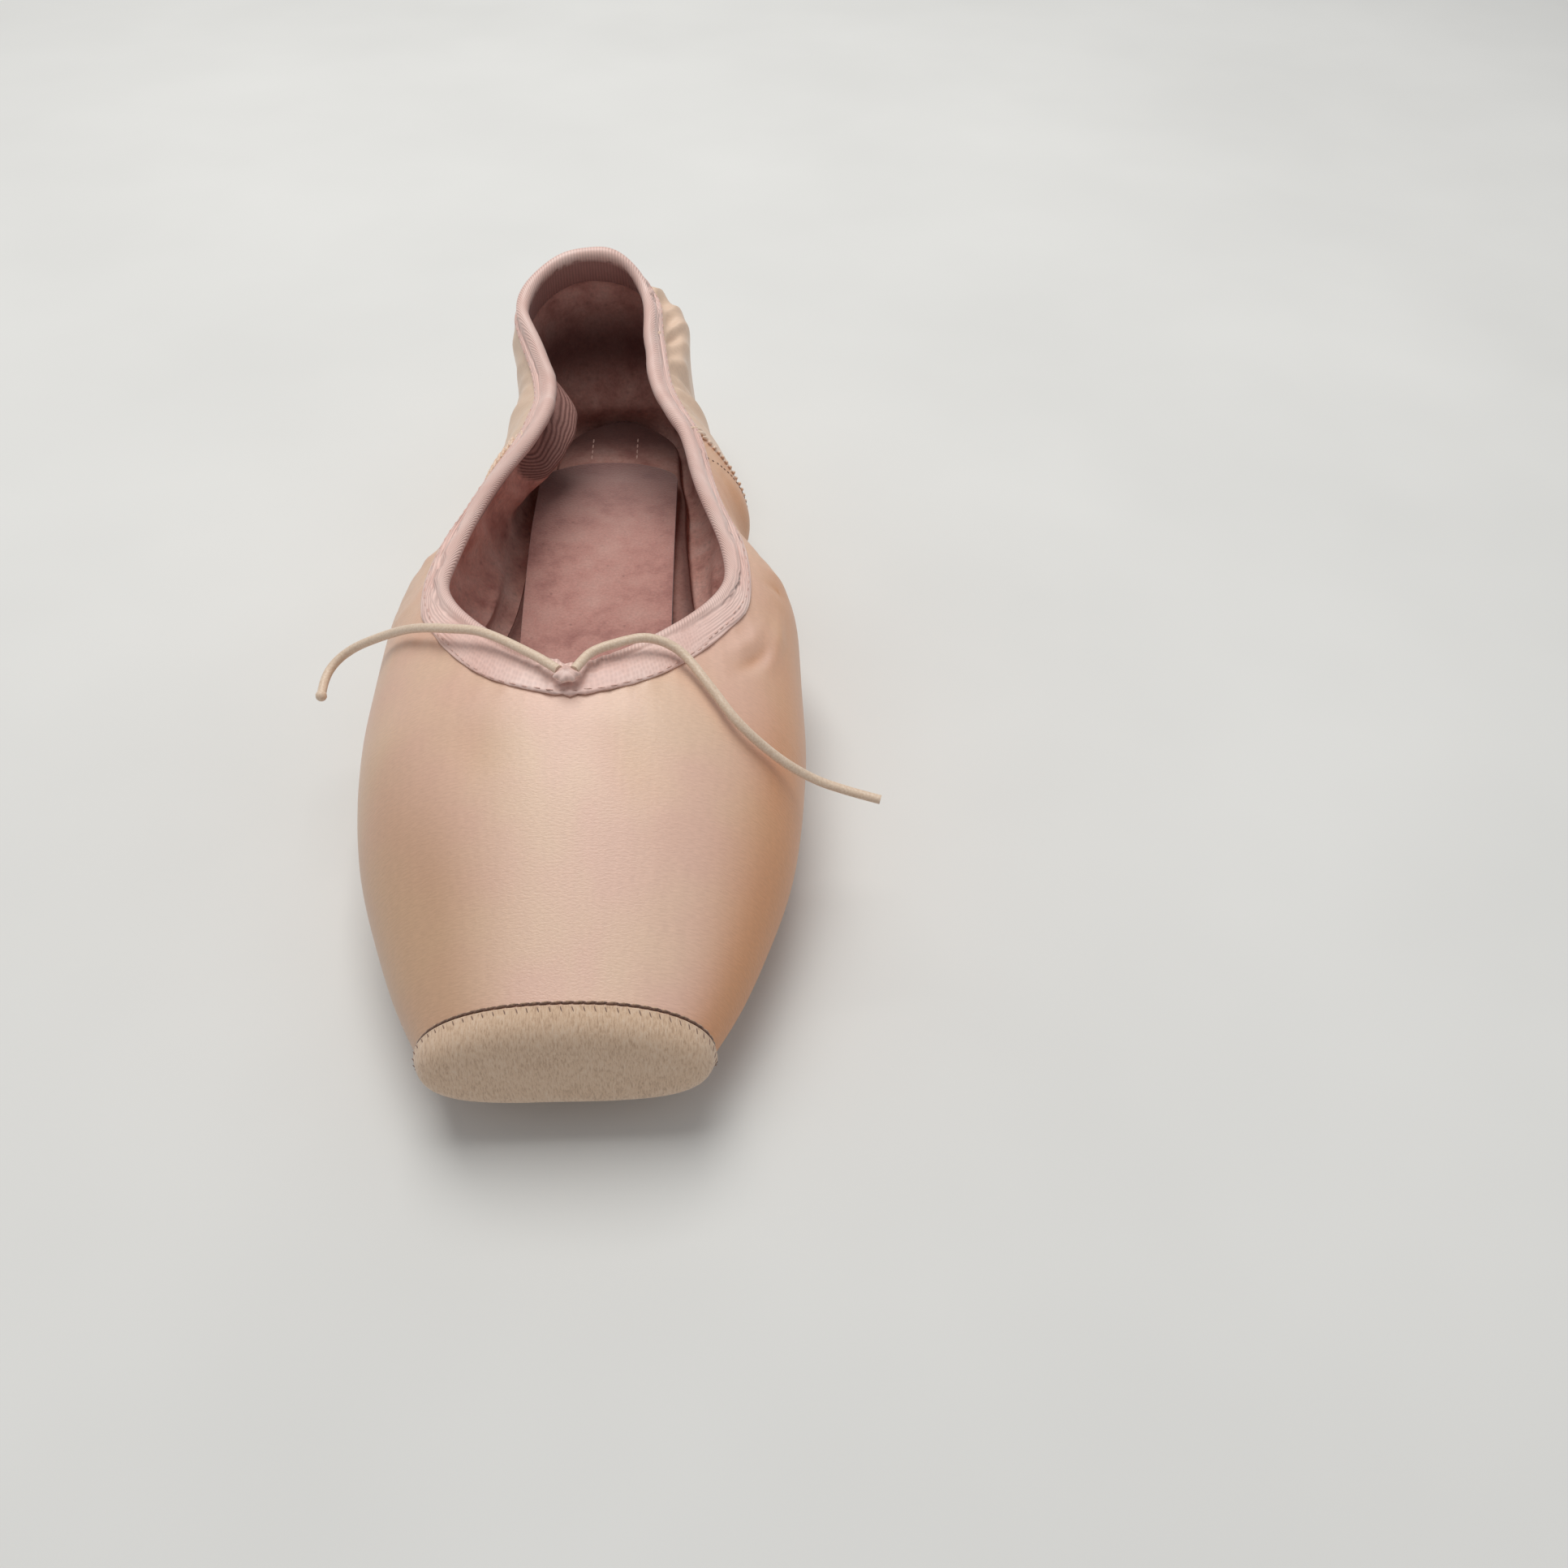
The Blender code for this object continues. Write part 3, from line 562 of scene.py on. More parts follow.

# %% [markdown]
# ## Folds, pressed in
# Each fold is a short line on the shoe, in millimetres, with a width and a depth. A point
# near the line moves in for a trough and out for a ridge, and the fold fades at both ends.
# Both sides of the wall move together, except where the satin or the lining alone is wrinkled.

# %% The fold lists
# The rows hold: which side, width, depth (below 0 is a ridge), and the line's points
BOTH, OUTER, INNER = 0, 1, -1
FOLDS = [
    # a long soft hollow that runs from the throat over the right of the box, and a short one
    (OUTER, 6.0, 0.35, [(8, -56, 49), (12, -66, 45), (17, -76, 40)]),
    (OUTER, 5.0, 0.30, [(-21, -53, 47), (-18, -62, 45), (-15, -70, 43)]),
    # puckers where the binding turns at the wings
    (OUTER, 1.8, -0.80, [(38, -20, 41), (34, -30, 43), (28, -38, 46)]),
    (OUTER, 1.6, 0.80, [(40, -24, 38), (36, -33, 41), (30, -42, 45)]),
    (OUTER, 2.2, -0.70, [(41, -12, 37), (40, -22, 37), (36, -38, 41)]),
    (OUTER, 1.3, 0.45, [(37, -8, 41), (41, -6, 36), (43, -5, 31)]),
    (OUTER, 1.6, -0.45, [(37, -2, 40), (41, 0, 35), (42, 2, 29)]),
    (OUTER, 1.4, 0.40, [(35, 4, 40), (39, 7, 35), (40, 9, 30)]),
    (OUTER, 1.3, 0.50, [(-37, -10, 41), (-41, -8, 36), (-43, -6, 31)]),
    (OUTER, 1.5, -0.45, [(-36, -15, 42), (-40, -16, 38), (-42, -17, 34)]),
    (OUTER, 1.4, 0.40, [(-35, -20, 43), (-38, -24, 41), (-38, -32, 40)]),
    (OUTER, 1.6, -0.40, [(-36, -3, 41), (-40, 0, 36), (-41, 3, 30)]),
    # bumps of the left quarter beside the tape
    (OUTER, 2.6, -0.9, [(-30, 15, 43), (-33, 18, 39)]),
    (OUTER, 2.2, -0.7, [(-34, 0, 42), (-37, 3, 38)]),
    # the folds of the slack quarters
    (BOTH, 3.2, 1.3, [(20, 62, 42), (23, 60, 33), (25, 58, 22), (25, 56, 14)]),
    (BOTH, 2.6, -1.0, [(20, 69, 41), (23, 68, 32), (25, 67, 24)]),
    (BOTH, 2.8, 1.0, [(-19, 60, 42), (-24, 58, 34), (-26, 56, 24), (-26, 54, 14)]),
    (BOTH, 2.4, -0.8, [(-18, 68, 43), (-23, 67, 34), (-25, 66, 24)]),
    (BOTH, 2.4, 0.8, [(-17, 76, 44), (-22, 76, 34), (-24, 76, 22)]),
    (BOTH, 2.2, 0.7, [(18, 78, 42), (23, 78, 33), (24, 78, 22)]),
    (BOTH, 3.4, 0.7, [(-33, 22, 38), (-35, 26, 28), (-34, 30, 16)]),
    (BOTH, 3.4, 0.7, [(33, 24, 38), (35, 28, 28), (33, 32, 16)]),
    # the roll of the lining at the left waist, where the slack elastic part folds in
    (INNER, 8.0, -14.0, [(-26, 46, 20), (-24, 58, 26), (-22, 68, 31), (-21, 78, 33),
                         (-20, 94, 34)]),
    (INNER, 3.0, 3.0, [(-25, 58, 16), (-24, 68, 19), (-23, 78, 20)]),
    (INNER, 3.0, -2.6, [(-24, 38, 34), (-26, 46, 27), (-27, 54, 16)]),
    # the side seams, with the vamp's satin bulging in front of them
    (OUTER, 1.3, 0.9, [(26, 48, 42), (31, 45.5, 33), (32, 42, 24), (31, 39, 14), (27, 37, 6)]),
    (OUTER, 5.0, -1.5, [(29, 38, 39), (33, 36, 32), (34, 33, 22), (32, 32, 12)]),
    (OUTER, 1.3, 0.9, [(-26, 45, 42), (-31, 43, 33), (-32, 40, 24), (-31, 37, 14), (-27, 35, 6)]),
    (OUTER, 5.0, -0.9, [(-29, 35, 39), (-33, 33, 32), (-34, 31, 22), (-32, 30, 12)]),
    # the heel's satin puffs out under the tape
    (OUTER, 4.6, -2.3, [(13, 74, 40), (18, 84, 41), (18.5, 94, 42), (15, 104, 44),
                        (6, 111, 47)]),
    (OUTER, 4.0, -0.5, [(-20, 78, 40), (-25, 88, 42), (-25, 98, 44), (-20, 107, 46),
                        (-12, 112, 48)]),
    # the loose lining slopes down to the pad at the sides and to the floor at the heel
    (INNER, 7.0, -7.5, [(-35, -44, 12), (-36, -12, 11), (-33, 10, 11), (-29, 46, 11)]),
    (INNER, 6.0, -7.0, [(35, -44, 12), (36, -12, 11), (33, 10, 11), (29, 52, 11)]),
    (INNER, 5.5, -5.5, [(-20, 80, 12), (-17, 96, 13), (-7, 108, 14), (5, 108, 14),
                        (13, 96, 13), (17, 80, 12)]),
    # wrinkles of the lining
    (INNER, 1.5, -2.2, [(-36, -22, 34), (-33, -4, 24), (-28, 14, 14)]),
    (INNER, 1.4, 1.8, [(-37, -12, 34), (-32, 8, 24), (-27, 24, 14)]),
    (INNER, 1.5, -2.0, [(36, 14, 34), (33, 4, 25), (29, -14, 15)]),
    (INNER, 1.9, 1.6, [(-38, -18, 30), (-36, -6, 24), (-34, 2, 18)]),
    (INNER, 2.2, -1.9, [(-38, -10, 32), (-36, 4, 27), (-32, 14, 18)]),
    (INNER, 2.0, 1.8, [(-34, 10, 32), (-32, 20, 26), (-30, 26, 16)]),
    (INNER, 2.4, -2.0, [(-33, 20, 33), (-31, 30, 27), (-29, 38, 17)]),
    (INNER, 1.8, -1.4, [(-36, -30, 28), (-38, -22, 20), (-36, -12, 14)]),
    (INNER, 1.8, 1.4, [(38, -18, 30), (36, -6, 24), (34, 4, 18)]),
    (INNER, 2.2, -2.2, [(36, 2, 30), (35, 12, 26), (30, 24, 20)]),
    (INNER, 1.9, 1.6, [(33, 14, 32), (31, 24, 28), (29, 34, 18)]),
    (INNER, 3.2, -3.2, [(30, 26, 34), (29, 36, 26), (28, 46, 15)]),
    (INNER, 2.0, 1.5, [(28, 44, 32), (27, 50, 24), (26, 56, 14)]),
    (INNER, 1.8, 0.7, [(-6, 108, 40), (-6, 108, 28), (-5, 107, 18)]),
    (INNER, 1.8, 0.6, [(6, 107, 40), (6, 107, 28), (5, 106, 18)]),
]
print(f"{len(FOLDS)} folds")

# %% Press the folds
# A fold's ends keep this share of its length's sine, so that a fold doesn't end in nothing
FOLD_ENDS = 0.06


def press_folds(piece, folds):
    """Moves the points, and gives back how far each one moved out, in millimetres."""
    places, normals = read_points(piece)
    moves_with = {BOTH: 1, OUTER: outer_points, INNER: ~outer_points}
    moved = np.zeros(len(places))
    for side, width, depth, line in folds:
        away, along = near_line(places / MM, line)
        along = np.clip(along, FOLD_ENDS, 1 - FOLD_ENDS)
        dent = np.exp(-(away / width) ** 2) * np.sin(along * math.pi) * moves_with[side]
        moved -= dent * depth * (-1 if side == INNER else 1)
    moved *= rise(from_collar(places), 2, 7)
    outward = np.where(outer_points[:, None], normals, -normals)
    write_points(piece, places + outward * (moved * MM)[:, None])
    return moved


flat_places, _ = read_points(upper)
flat_tree = tree_of(upper)
folded = press_folds(upper, FOLDS)
print(f"folds move the upper by up to {abs(folded).max():.1f} mm")

# %% [markdown]
# ## Gathers under the tape and pleats under the toe
# The drawstring gathers the satin most at the heel, so small ridges run down from the tape
# there. Under the toe the satin has to shrink from the wide box to the narrow sole, and a
# maker lays it in pleats that fan out from the tip of the sole.

# %% Gather and pleat
GATHER_PITCH, GATHER_DRIFT, GATHER_RIPPLE = 12.8, 107, 12
SOLE_TIP_Y, SOLE_TIP_RADIUS = -70.5, 24
PLEAT_COUNT = 22
PLEAT_HEIGHT = 0.9


def gathers(places):
    """How far the gathers lift the satin, in millimetres."""
    x, y, z = (places / MM).T
    run, below = run_round(places), from_collar(places)
    back = rise(y, 45, 75)
    turn = turns_round(run, GATHER_PITCH) + 2.2 * np.sin(turns_round(run, GATHER_DRIFT))
    wave = 0.6 - 1.2 * np.abs(np.sin(turn + 0.06 * below)) ** 1.3
    wave = wave + 0.3 * np.sin(turns_round(run, GATHER_RIPPLE))
    fade = np.exp(-((below - 4.5) / 8.0) ** 2) * rise(z, 22, 34) * rise(below, 1, 3)
    return wave * fade * (0.12 + 0.25 * back + 0.75 * rise(x, 0, 12) * back)


def pleats(places):
    """How far the pleats lift the satin, in millimetres. Each is steep on one side."""
    x, y, z = (places / MM).T
    ahead = SOLE_TIP_Y - y
    angle = np.arctan2(x, ahead)
    reach = np.hypot(x, ahead) - SOLE_TIP_RADIUS
    turn = angle / math.pi * PLEAT_COUNT + 0.35 * np.sin(angle * 5)
    saw = 2 * np.abs((turn % 1) ** 1.7 - 0.35)
    low = rise(z, 14, 8) * rise(ahead, -10, 10)
    return PLEAT_HEIGHT * (0.5 - saw) * low * rise(reach, -4, 0) * rise(reach, 16, 6)


places, normals = read_points(upper)
lift = (gathers(places) + pleats(places)) * outer_points * MM
write_points(upper, places + normals * lift[:, None])
upper_tree = tree_of(upper)
print("gathers and pleats pressed")

# %% [markdown]
# ## Threads follow the cloth
# A weave has to run with the cloth. Each point of the upper gets a place on the cloth in
# millimetres: how far round the section it lies, and how far along the shoe. Behind the side
# seams the satin is another panel, which runs round the heel upright.

# %% Lay a cloth map
# The map's stations along the shoe, and how far the last ones lie from the middle
STATIONS, STATION_STEP, LAST_STATION = 47, 5, 115
# Where the side seams run: their height and their place along the shoe, on the right
SEAM_Z = [7, 22, 31, 36, 41, 44]
SEAM_Y = [37, 41, 44, 45.5, 47, 50]
HEEL_TURN_Y, HEEL_RADIUS = 85, 22


def write_map(piece, across_mm, along_mm, wrap_mm=None):
    """Writes a UV map in millimetres, without a smear where the round closes."""
    mesh = piece.data
    corners = read_numbers(mesh.loops, "vertex_index")
    across = np.asarray(across_mm)[corners].copy()
    if wrap_mm is not None:
        wrap = np.asarray(wrap_mm)[corners] if np.ndim(wrap_mm) else wrap_mm
        starts = read_numbers(mesh.polygons, "loop_start")
        sizes = read_numbers(mesh.polygons, "loop_total")
        top = np.repeat(np.maximum.reduceat(across, starts), sizes)
        across += np.where(top - across > wrap / 2, wrap, 0)
    flat = np.stack([across, np.asarray(along_mm)[corners]], axis=1)
    layer = mesh.uv_layers.new(name="cloth")
    layer.data.foreach_set("uv", flat.ravel())
    mesh.uv_layers.active = layer


def section_map(piece):
    """Across: the run round the section, with the middle of the top at 0. Along: the length."""
    places, _ = read_points(piece)
    x, y, z = (places / MM).T
    off_x = x + 2 * rise(y, 30, 80)
    off_z = z - MIDDLE_Z / MM
    distance = np.hypot(off_x, off_z)
    spot = np.clip(((y + LAST_STATION) / STATION_STEP).astype(int), 0, STATIONS - 1)
    mean = [distance[spot == k].mean() if (spot == k).any() else 30 for k in range(STATIONS)]
    mean = np.convolve(np.pad(mean, 2, "edge"), np.ones(5) / 5, "valid")
    radius = np.interp(y, np.linspace(-LAST_STATION, LAST_STATION, STATIONS), mean)
    write_map(piece, np.arctan2(off_x, off_z) * radius, y, 2 * math.pi * radius)


def behind_seam(places):
    """Millimetres behind the side seams. The left seam is 2 mm nearer the toe."""
    x, y, z = (places / MM).T
    return y - np.interp(z, SEAM_Z, SEAM_Y) + 2 * (x < 0)


def quarter_map(piece):
    """Lays the map anew behind the side seams. Across: the height. Along: round the heel."""
    places, _ = read_points(piece)
    x, y, z = (places / MM).T
    past = y - HEEL_TURN_Y
    round_heel = HEEL_RADIUS * np.arctan2(past, np.abs(x + 4))
    along = HEEL_TURN_Y + np.where(past > 0, round_heel, past)
    mesh = piece.data
    middles, _ = read_faces(piece)
    quarter = np.repeat(behind_seam(middles) > 0, read_numbers(mesh.polygons, "loop_total"))
    flat = np.zeros(len(mesh.loops) * 2)
    mesh.uv_layers["cloth"].data.foreach_get("uv", flat)
    own = np.column_stack([z, along])[read_numbers(mesh.loops, "vertex_index")]
    flat = np.where(quarter[:, None], own, flat.reshape(-1, 2))
    mesh.uv_layers["cloth"].data.foreach_set("uv", flat.ravel())


section_map(upper)
quarter_map(upper)
print("cloth map on the upper")

# %% [markdown]
# ## Satin
# Satin is a weave whose weft threads float over several warps, so the surface is smooth and
# shiny and light spreads along the shoe, across the threads. The stiffened cloth has a fine
# crinkle, wider than it is tall, about a millimetre long. Shade is painted into its colour: the
# flanks and the troughs of folds are darker. The right flank gets painted orange bounce light
# from a neighbouring shoe, and the left flank a browner painted shade.

# %% Satin material
SATIN_PEACH = "E6C3A9"
SATIN_ROSE = "E5BCA8"
SATIN_CREAM = "E6C8B0"
# Painted shade: a browner tan for the left flank, and an orange shade with bounce light for the
# right flank and the folds' troughs
SATIN_LEFT_SHADE = "BA906A"
SATIN_BOUNCE_SHADE = "D4925F"

finish = Finish("woven_satin", Roughness=0.41, Specular_IOR_Level=0.80, Anisotropic=0.5,
                Anisotropic_Rotation=0.25, Sheen_Weight=0.10, Sheen_Roughness=0.35)
cloth = finish.cloth()
crinkle = finish.noise(finish.scaled(cloth, (0.8, 3.2, 1.0)), 1.0, 2.0, 0.55, 0.4, "2D")
streaks = finish.noise(finish.scaled(cloth, (0.9, 0.03, 1.0)), 1.0, 3.0, dimensions="2D")
drift = finish.noise(cloth, 0.045, dimensions="2D")
colour = finish.ramp(drift, (0.35, SATIN_ROSE), (0.65, SATIN_PEACH))
colour = finish.mix(finish.attribute("quarter"), colour, SATIN_CREAM)
# Painted shade of the flanks and of the folds' troughs
colour = finish.mix(finish.attribute("left_flank_shade"), colour, SATIN_LEFT_SHADE)
colour = finish.mix(finish.attribute("depth"), colour, SATIN_BOUNCE_SHADE)
colour = finish.shade(colour, finish.between(crinkle, 0.3, 0.7, 0.94, 1.03),
                      finish.between(streaks, 0.3, 0.7, 0.985, 1.01))
satin = finish.wear(colour, crinkle, 0.4, 0.10 * MM)

# %% [markdown]
# ## Brushed lining
# The inside is a brushed microfibre, dusty mauve. Its pile lies in patches, so it looks mottled,
# with a fine fuzz, and shade is painted dark into it deep in the heel. At the left waist it folds
# in with an elastic band, whose ribs run along the collar.

# %% Lining material
LINING_MAUVE = "E2AC9F"
LINING_DARK = "BC8177"
LINING_PALE = "F0C6BA"
# Painted shade for the lining deep in the heel, and for the insole beside the pad and at its heel
# end
LINING_SHADE = "4A2A27"
RIB_DARK = "76524C"
RIB_PALE = "AC827A"
RIB_PITCH = 0.8

finish = Finish("brushed_lining", Roughness=0.95, Sheen_Weight=0.35, Sheen_Roughness=0.6,
                Sheen_Tint="D8A79C")
spot = finish.spot()
fuzz = finish.noise(spot, 1500.0)
pile = finish.ramp(finish.noise(spot, 110.0, 3.0, 0.6), (0.30, LINING_DARK),
                   (0.50, LINING_MAUVE), (0.72, LINING_PALE))
# Painted shade, mixed in by the "depth" attribute
shaded_pile = finish.mix(finish.attribute("depth"), pile, LINING_SHADE)
elastic = finish.attribute("elastic")
turns = finish.maths("MULTIPLY", finish.attribute("below"), 2 * math.pi / RIB_PITCH)
rib = finish.between(finish.maths("SINE", turns), -1.0, 0.6)
colour = finish.mix(elastic, shaded_pile, finish.mix(rib, RIB_DARK, RIB_PALE))
colour = finish.shade(colour, finish.between(finish.cells(spot, 420.0), 0.0, 0.35, 0.80, 1.0),
                      finish.between(fuzz, 0.3, 0.7, 0.88, 1.08))
height = finish.maths("ADD", fuzz, finish.maths("MULTIPLY", rib, elastic))
lining = finish.wear(colour, height, 0.5, 0.25 * MM)

# %% Dress the upper
# The elastic band in the left waist's fold. Its ribs count from a line 7 mm above it
ELASTIC = np.array([(-24, 56, 31), (-22, 66, 35), (-21, 76, 37), (-20, 86, 38)])
away, _ = near_line(flat_places / MM, ELASTIC)
below, _ = near_line(flat_places / MM, ELASTIC + np.array([0, 0, 7]))
write_attribute(upper, "elastic", rise(away, 5.5, 4.0))
write_attribute(upper, "below", below)

# Painted shade: the flanks are darker than the top, with orange bounce light on the right, and
# the troughs of the front folds are darker. The lining gets painted shade deep in the heel. The
# quarters are paler.
places, normals = read_points(upper)
x, y, z = (places / MM).T
across = normals[:, 0]
toward_toe = rise(y, -35, -90)
# Painted shade on the flanks, strongest towards the toe and low down, and faint behind the side
# seams
right = (0.80 + 0.20 * toward_toe) * rise(across, 0.30, 0.90)
left = (0.34 + 0.32 * toward_toe) * rise(across, 0.02, -0.40)
panel = rise(behind_seam(places), -1.5, 1.5)
fade = (1 - 0.92 * panel) * (1 - 0.55 * rise(z, 34, 44))
troughs = np.clip(folded / -1.2, 0, 1) * rise(y, 50, 30)
bounce_and_crease_shade = np.clip(right * fade + 0.5 * troughs, 0, 1)
# Painted shade on the lining: darker towards the back of the heel and below the collar, weaker
# near the floor
heel_shade = rise(y, 55, 95) * rise(z, 52, 32) * (0.35 + 0.65 * rise(z, 18, 30))
write_attribute(upper, "quarter", panel)
write_attribute(upper, "left_flank_shade", left * fade)
write_attribute(upper, "depth", np.where(outer_points, bounce_and_crease_shade, 0.85 * heel_shade))
upper.data.materials.append(satin)
upper.data.materials.append(lining)
upper.data.polygons.foreach_set("material_index", np.where(outer_faces, 0, 1))
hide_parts("upper")
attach(upper, "root")
print("upper dressed")

# %% [markdown]
# ## The binding
# A narrow twill tape is folded over the collar's raw edge and holds the drawstring. Its top is
# a tight round roll, with the fine ribs of a cotton tape across it, and its legs show lines
# along the tape. At the throat the drawstring bunches it up.

# %% Shape the binding
THROAT = np.array([[0.0, -52.0, 50.0]]) * MM
THROAT_RUN = float(run_round(THROAT)[0])
# The outer leg's length by the run from the throat: wide over the throat, short behind it
LEG_RUN = [0, 10, 14, 17, 20, 23, 26, 29, 32, 35, 38, 48, 60, 75]
LEG_SHARE = [1.52, 1.56, 1.48, 1.37, 1.27, 1.16, 1.06, 0.98, 0.92, 0.86, 0.81, 0.77, 0.60, 0.45]
# Where the straight leg starts below the tape's top, and how close it lies on the wall
LEG_START = 1.6 * MM
LEG_SUNK, LEG_CLOSEST = 0.5 * MM, 0.05 * MM


def from_throat(run):
    """Millimetres round the collar from the throat: right above 0, and left below."""
    return ((run - THROAT_RUN + COLLAR_LENGTH / 2) % COLLAR_LENGTH - COLLAR_LENGTH / 2) / MM


def leg_share(reach):
    return np.interp(np.abs(reach), LEG_RUN, LEG_SHARE)


def lay_leg(places, reach):
    """Makes the outer leg its own length, and lays it close on the wall."""
    below, _, tip = on_tape(places)
    laid = places.copy()
    for i in np.where(below > LEG_START)[0]:
        _, _, face, gap = flat_tree.find_nearest(Vector(places[i]))
        if not outer_faces[face]:
            continue
        moved = places[i] + tip[i] * (below[i] - LEG_START) * (1 - leg_share(reach[i]))
        rest, normal, _, _ = flat_tree.find_nearest(Vector(moved))
        rest = np.array(rest + normal * max(gap - LEG_SUNK, LEG_CLOSEST))
        hug = float(rise(below[i], LEG_START, 2 * LEG_START))
        laid[i] = moved * (1 - hug) + rest * hug
    return laid


def shape_binding(piece):
    """Lays the legs, and lifts the tape in bunches, waves and a groove beside its stitches."""
    places, normals = read_points(piece)
    run = run_round(places)
    off = across_tape(places) / MM
    reach = from_throat(run)
    write_map(piece, run / MM, off, COLLAR_LENGTH / MM)
    places = lay_leg(places, reach)
    lift = 0.30 * np.exp(-(reach / 7) ** 2) * np.cos(reach / 1.3 * math.pi)
    lift -= 0.12 * np.exp(-((off - 3.6) / 0.5) ** 2)
    slack = 0.08 * np.sin(turns_round(run, 14) + 1.3 * np.sin(turns_round(run, 69)))
    slack += 0.10 * np.sin(turns_round(run, 24))
    lift += slack * (0.1 + rise(places[:, 1] / MM, 30, 60))
    reach = np.abs(reach)
    corner = rise(reach, 58, 44) * np.exp(-((reach - 38) / 16) ** 2) * rise(off, 2.6, 3.6)
    lift += 0.11 * corner * np.cos(off / 0.62 * math.pi)
    write_points(piece, places + normals * (lift * MM)[:, None])


shape_binding(binding)
print(f"binding: {len(binding.data.polygons)} faces")

# %% Tape material
TAPE_PINK = "E5BDB2"
TAPE_PALE = "F0D0C6"
# Painted shade on the tape's inner leg, inside the collar
TAPE_INSIDE_SHADE = "A87870"

finish = Finish("cotton_tape", Roughness=0.50, Sheen_Weight=0.20, Sheen_Roughness=0.4,
                Coat_Weight=0.40, Coat_Roughness=0.28)
cloth = finish.cloth()
run = finish.add("SeparateXYZ", "X", {"Vector": cloth})
over = run.node.outputs["Y"]
ribs = finish.bands(cloth, "X", 0.38, 0.6, 0.8)
lines = finish.bands(cloth, "Y", 0.40, 1.2, 0.5)
# Round the throat the tape is pulled short and its twill shows as a pebble. The real one is
# 0.5 mm wide, which is finer than the picture shows, so this one is 0.8 mm
pebble = finish.cells(cloth, 1.2, 0.45, voronoi_dimensions="2D")
far_off = finish.maths("ABSOLUTE", finish.maths("SUBTRACT", run, THROAT_RUN / MM))
outer_weave = finish.mix_values(finish.between(far_off, 36.0, 24.0), lines, pebble)
weave = finish.mix_values(finish.between(over, 3.0, 3.8), ribs, outer_weave)
colour = finish.ramp(finish.noise(cloth, 0.09, dimensions="2D"), (0.30, TAPE_PINK),
                     (0.75, TAPE_PALE))
# The inner leg takes the painted shade
colour = finish.mix(finish.between(over, -3.0, -4.0), colour, TAPE_INSIDE_SHADE)
colour = finish.shade(colour, finish.between(weave, 0.0, 1.0, 0.84, 1.07))
tape = finish.wear(colour, weave, 0.5, 0.18 * MM)
binding.data.materials.append(tape)
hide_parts("binding")
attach(binding, "root")

# %% [markdown]
# The drawstring leaves the tape through a pinched mouth at the throat. A short puckered roll of
# tape stands there and hides where both ends go in.

# %% The drawstring's mouth
MOUTH_HALVES = np.array([2.3, 1.9, 1.15])
MOUTH_PLACE = np.array([-0.5, -51.2, 53.0])
MOUTH_RADIUS = 2.4
PUCKERS, PUCKER_DEPTH = 7, 0.14

mouth = new_ball("drawstring_mouth", 36, 18, 1.0)
places, _ = read_points(mouth)
turn = np.arctan2(places[:, 1], places[:, 0])
fade = np.clip(1.2 - abs(places[:, 2]), 0, 1)
pucker = 1 + PUCKER_DEPTH * np.cos(PUCKERS * turn + 0.5) * fade
places = places * np.column_stack([pucker, pucker, 0.6 + 0.4 * pucker])
write_points(mouth, (places * MOUTH_HALVES + MOUTH_PLACE) * MM)
turned = np.arctan2(places[:, 1], places[:, 0]) * MOUTH_RADIUS
write_map(mouth, turned + THROAT_RUN / MM, 5 + places[:, 2], 2 * math.pi * MOUTH_RADIUS)
bpy.ops.object.shade_smooth()
mouth.data.materials.append(tape)
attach(mouth, "root")
print(f"mouth: {len(mouth.data.polygons)} faces")

# %% [markdown]
# ## The suede tip
# A piece of suede is sewn over the flat platform, where a dancer stands. Its nap is brushed
# down, so the pile shows as short upright streaks, a little greyer than the satin.

# %% Suede tip
SUEDE_TAN = "D9B99C"
SUEDE_DARK = "BE9E83"
SUEDE_PALE = "E0C5AC"

finish = Finish("napped_suede", Roughness=0.93, Sheen_Weight=0.3, Sheen_Roughness=0.6)
spot = finish.spot()
nap = finish.noise(finish.scaled(spot, (3600.0, 900.0, 900.0)), 1.0, 3.0, 0.6)
cloud = finish.noise(spot, 160.0)
colour = finish.ramp(finish.mix_values(0.15, nap, cloud), (0.34, SUEDE_DARK),
                     (0.50, SUEDE_TAN), (0.66, SUEDE_PALE))
suede = finish.wear(colour, nap, 0.6, 0.25 * MM)

patch = smoothed_copy("toe_patch", "suede_tip", 2)
patch.data.materials.append(suede)
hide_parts("toe_patch")
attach(patch, "root")
print(f"suede tip: {len(patch.data.polygons)} faces")

# %% [markdown]
# ## Sole, insole, pad and heel strip
# The outsole is a narrow strip of buffed leather that the satin's pleats disappear under. Inside
# lie the full insole and a shorter pad with a soft, fuzzy edge. A strip of satin covers the back
# seam.

# %% Leather sole
LEATHER_TAN = "B08360"
LEATHER_DARK = "8A5F41"
LEATHER_PALE = "C79C78"

finish = Finish("buffed_leather", Roughness=0.72, Sheen_Weight=0.1)
spot = finish.spot()
grain = finish.cells(spot, 1100.0, feature="SMOOTH_F1")
scuffs = finish.noise(finish.scaled(spot, (420.0, 60.0, 100.0)), 1.0, 5.0, 0.65)
colour = finish.ramp(scuffs, (0.32, LEATHER_DARK), (0.52, LEATHER_TAN), (0.75, LEATHER_PALE))
leather = finish.wear(colour, grain, 0.4, 0.20 * MM)

outsole = smoothed_copy("outsole", "leather_sole", 1)
outsole.data.materials.append(leather)
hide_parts("outsole")
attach(outsole, "root")
print(f"sole: {len(outsole.data.polygons)} faces")

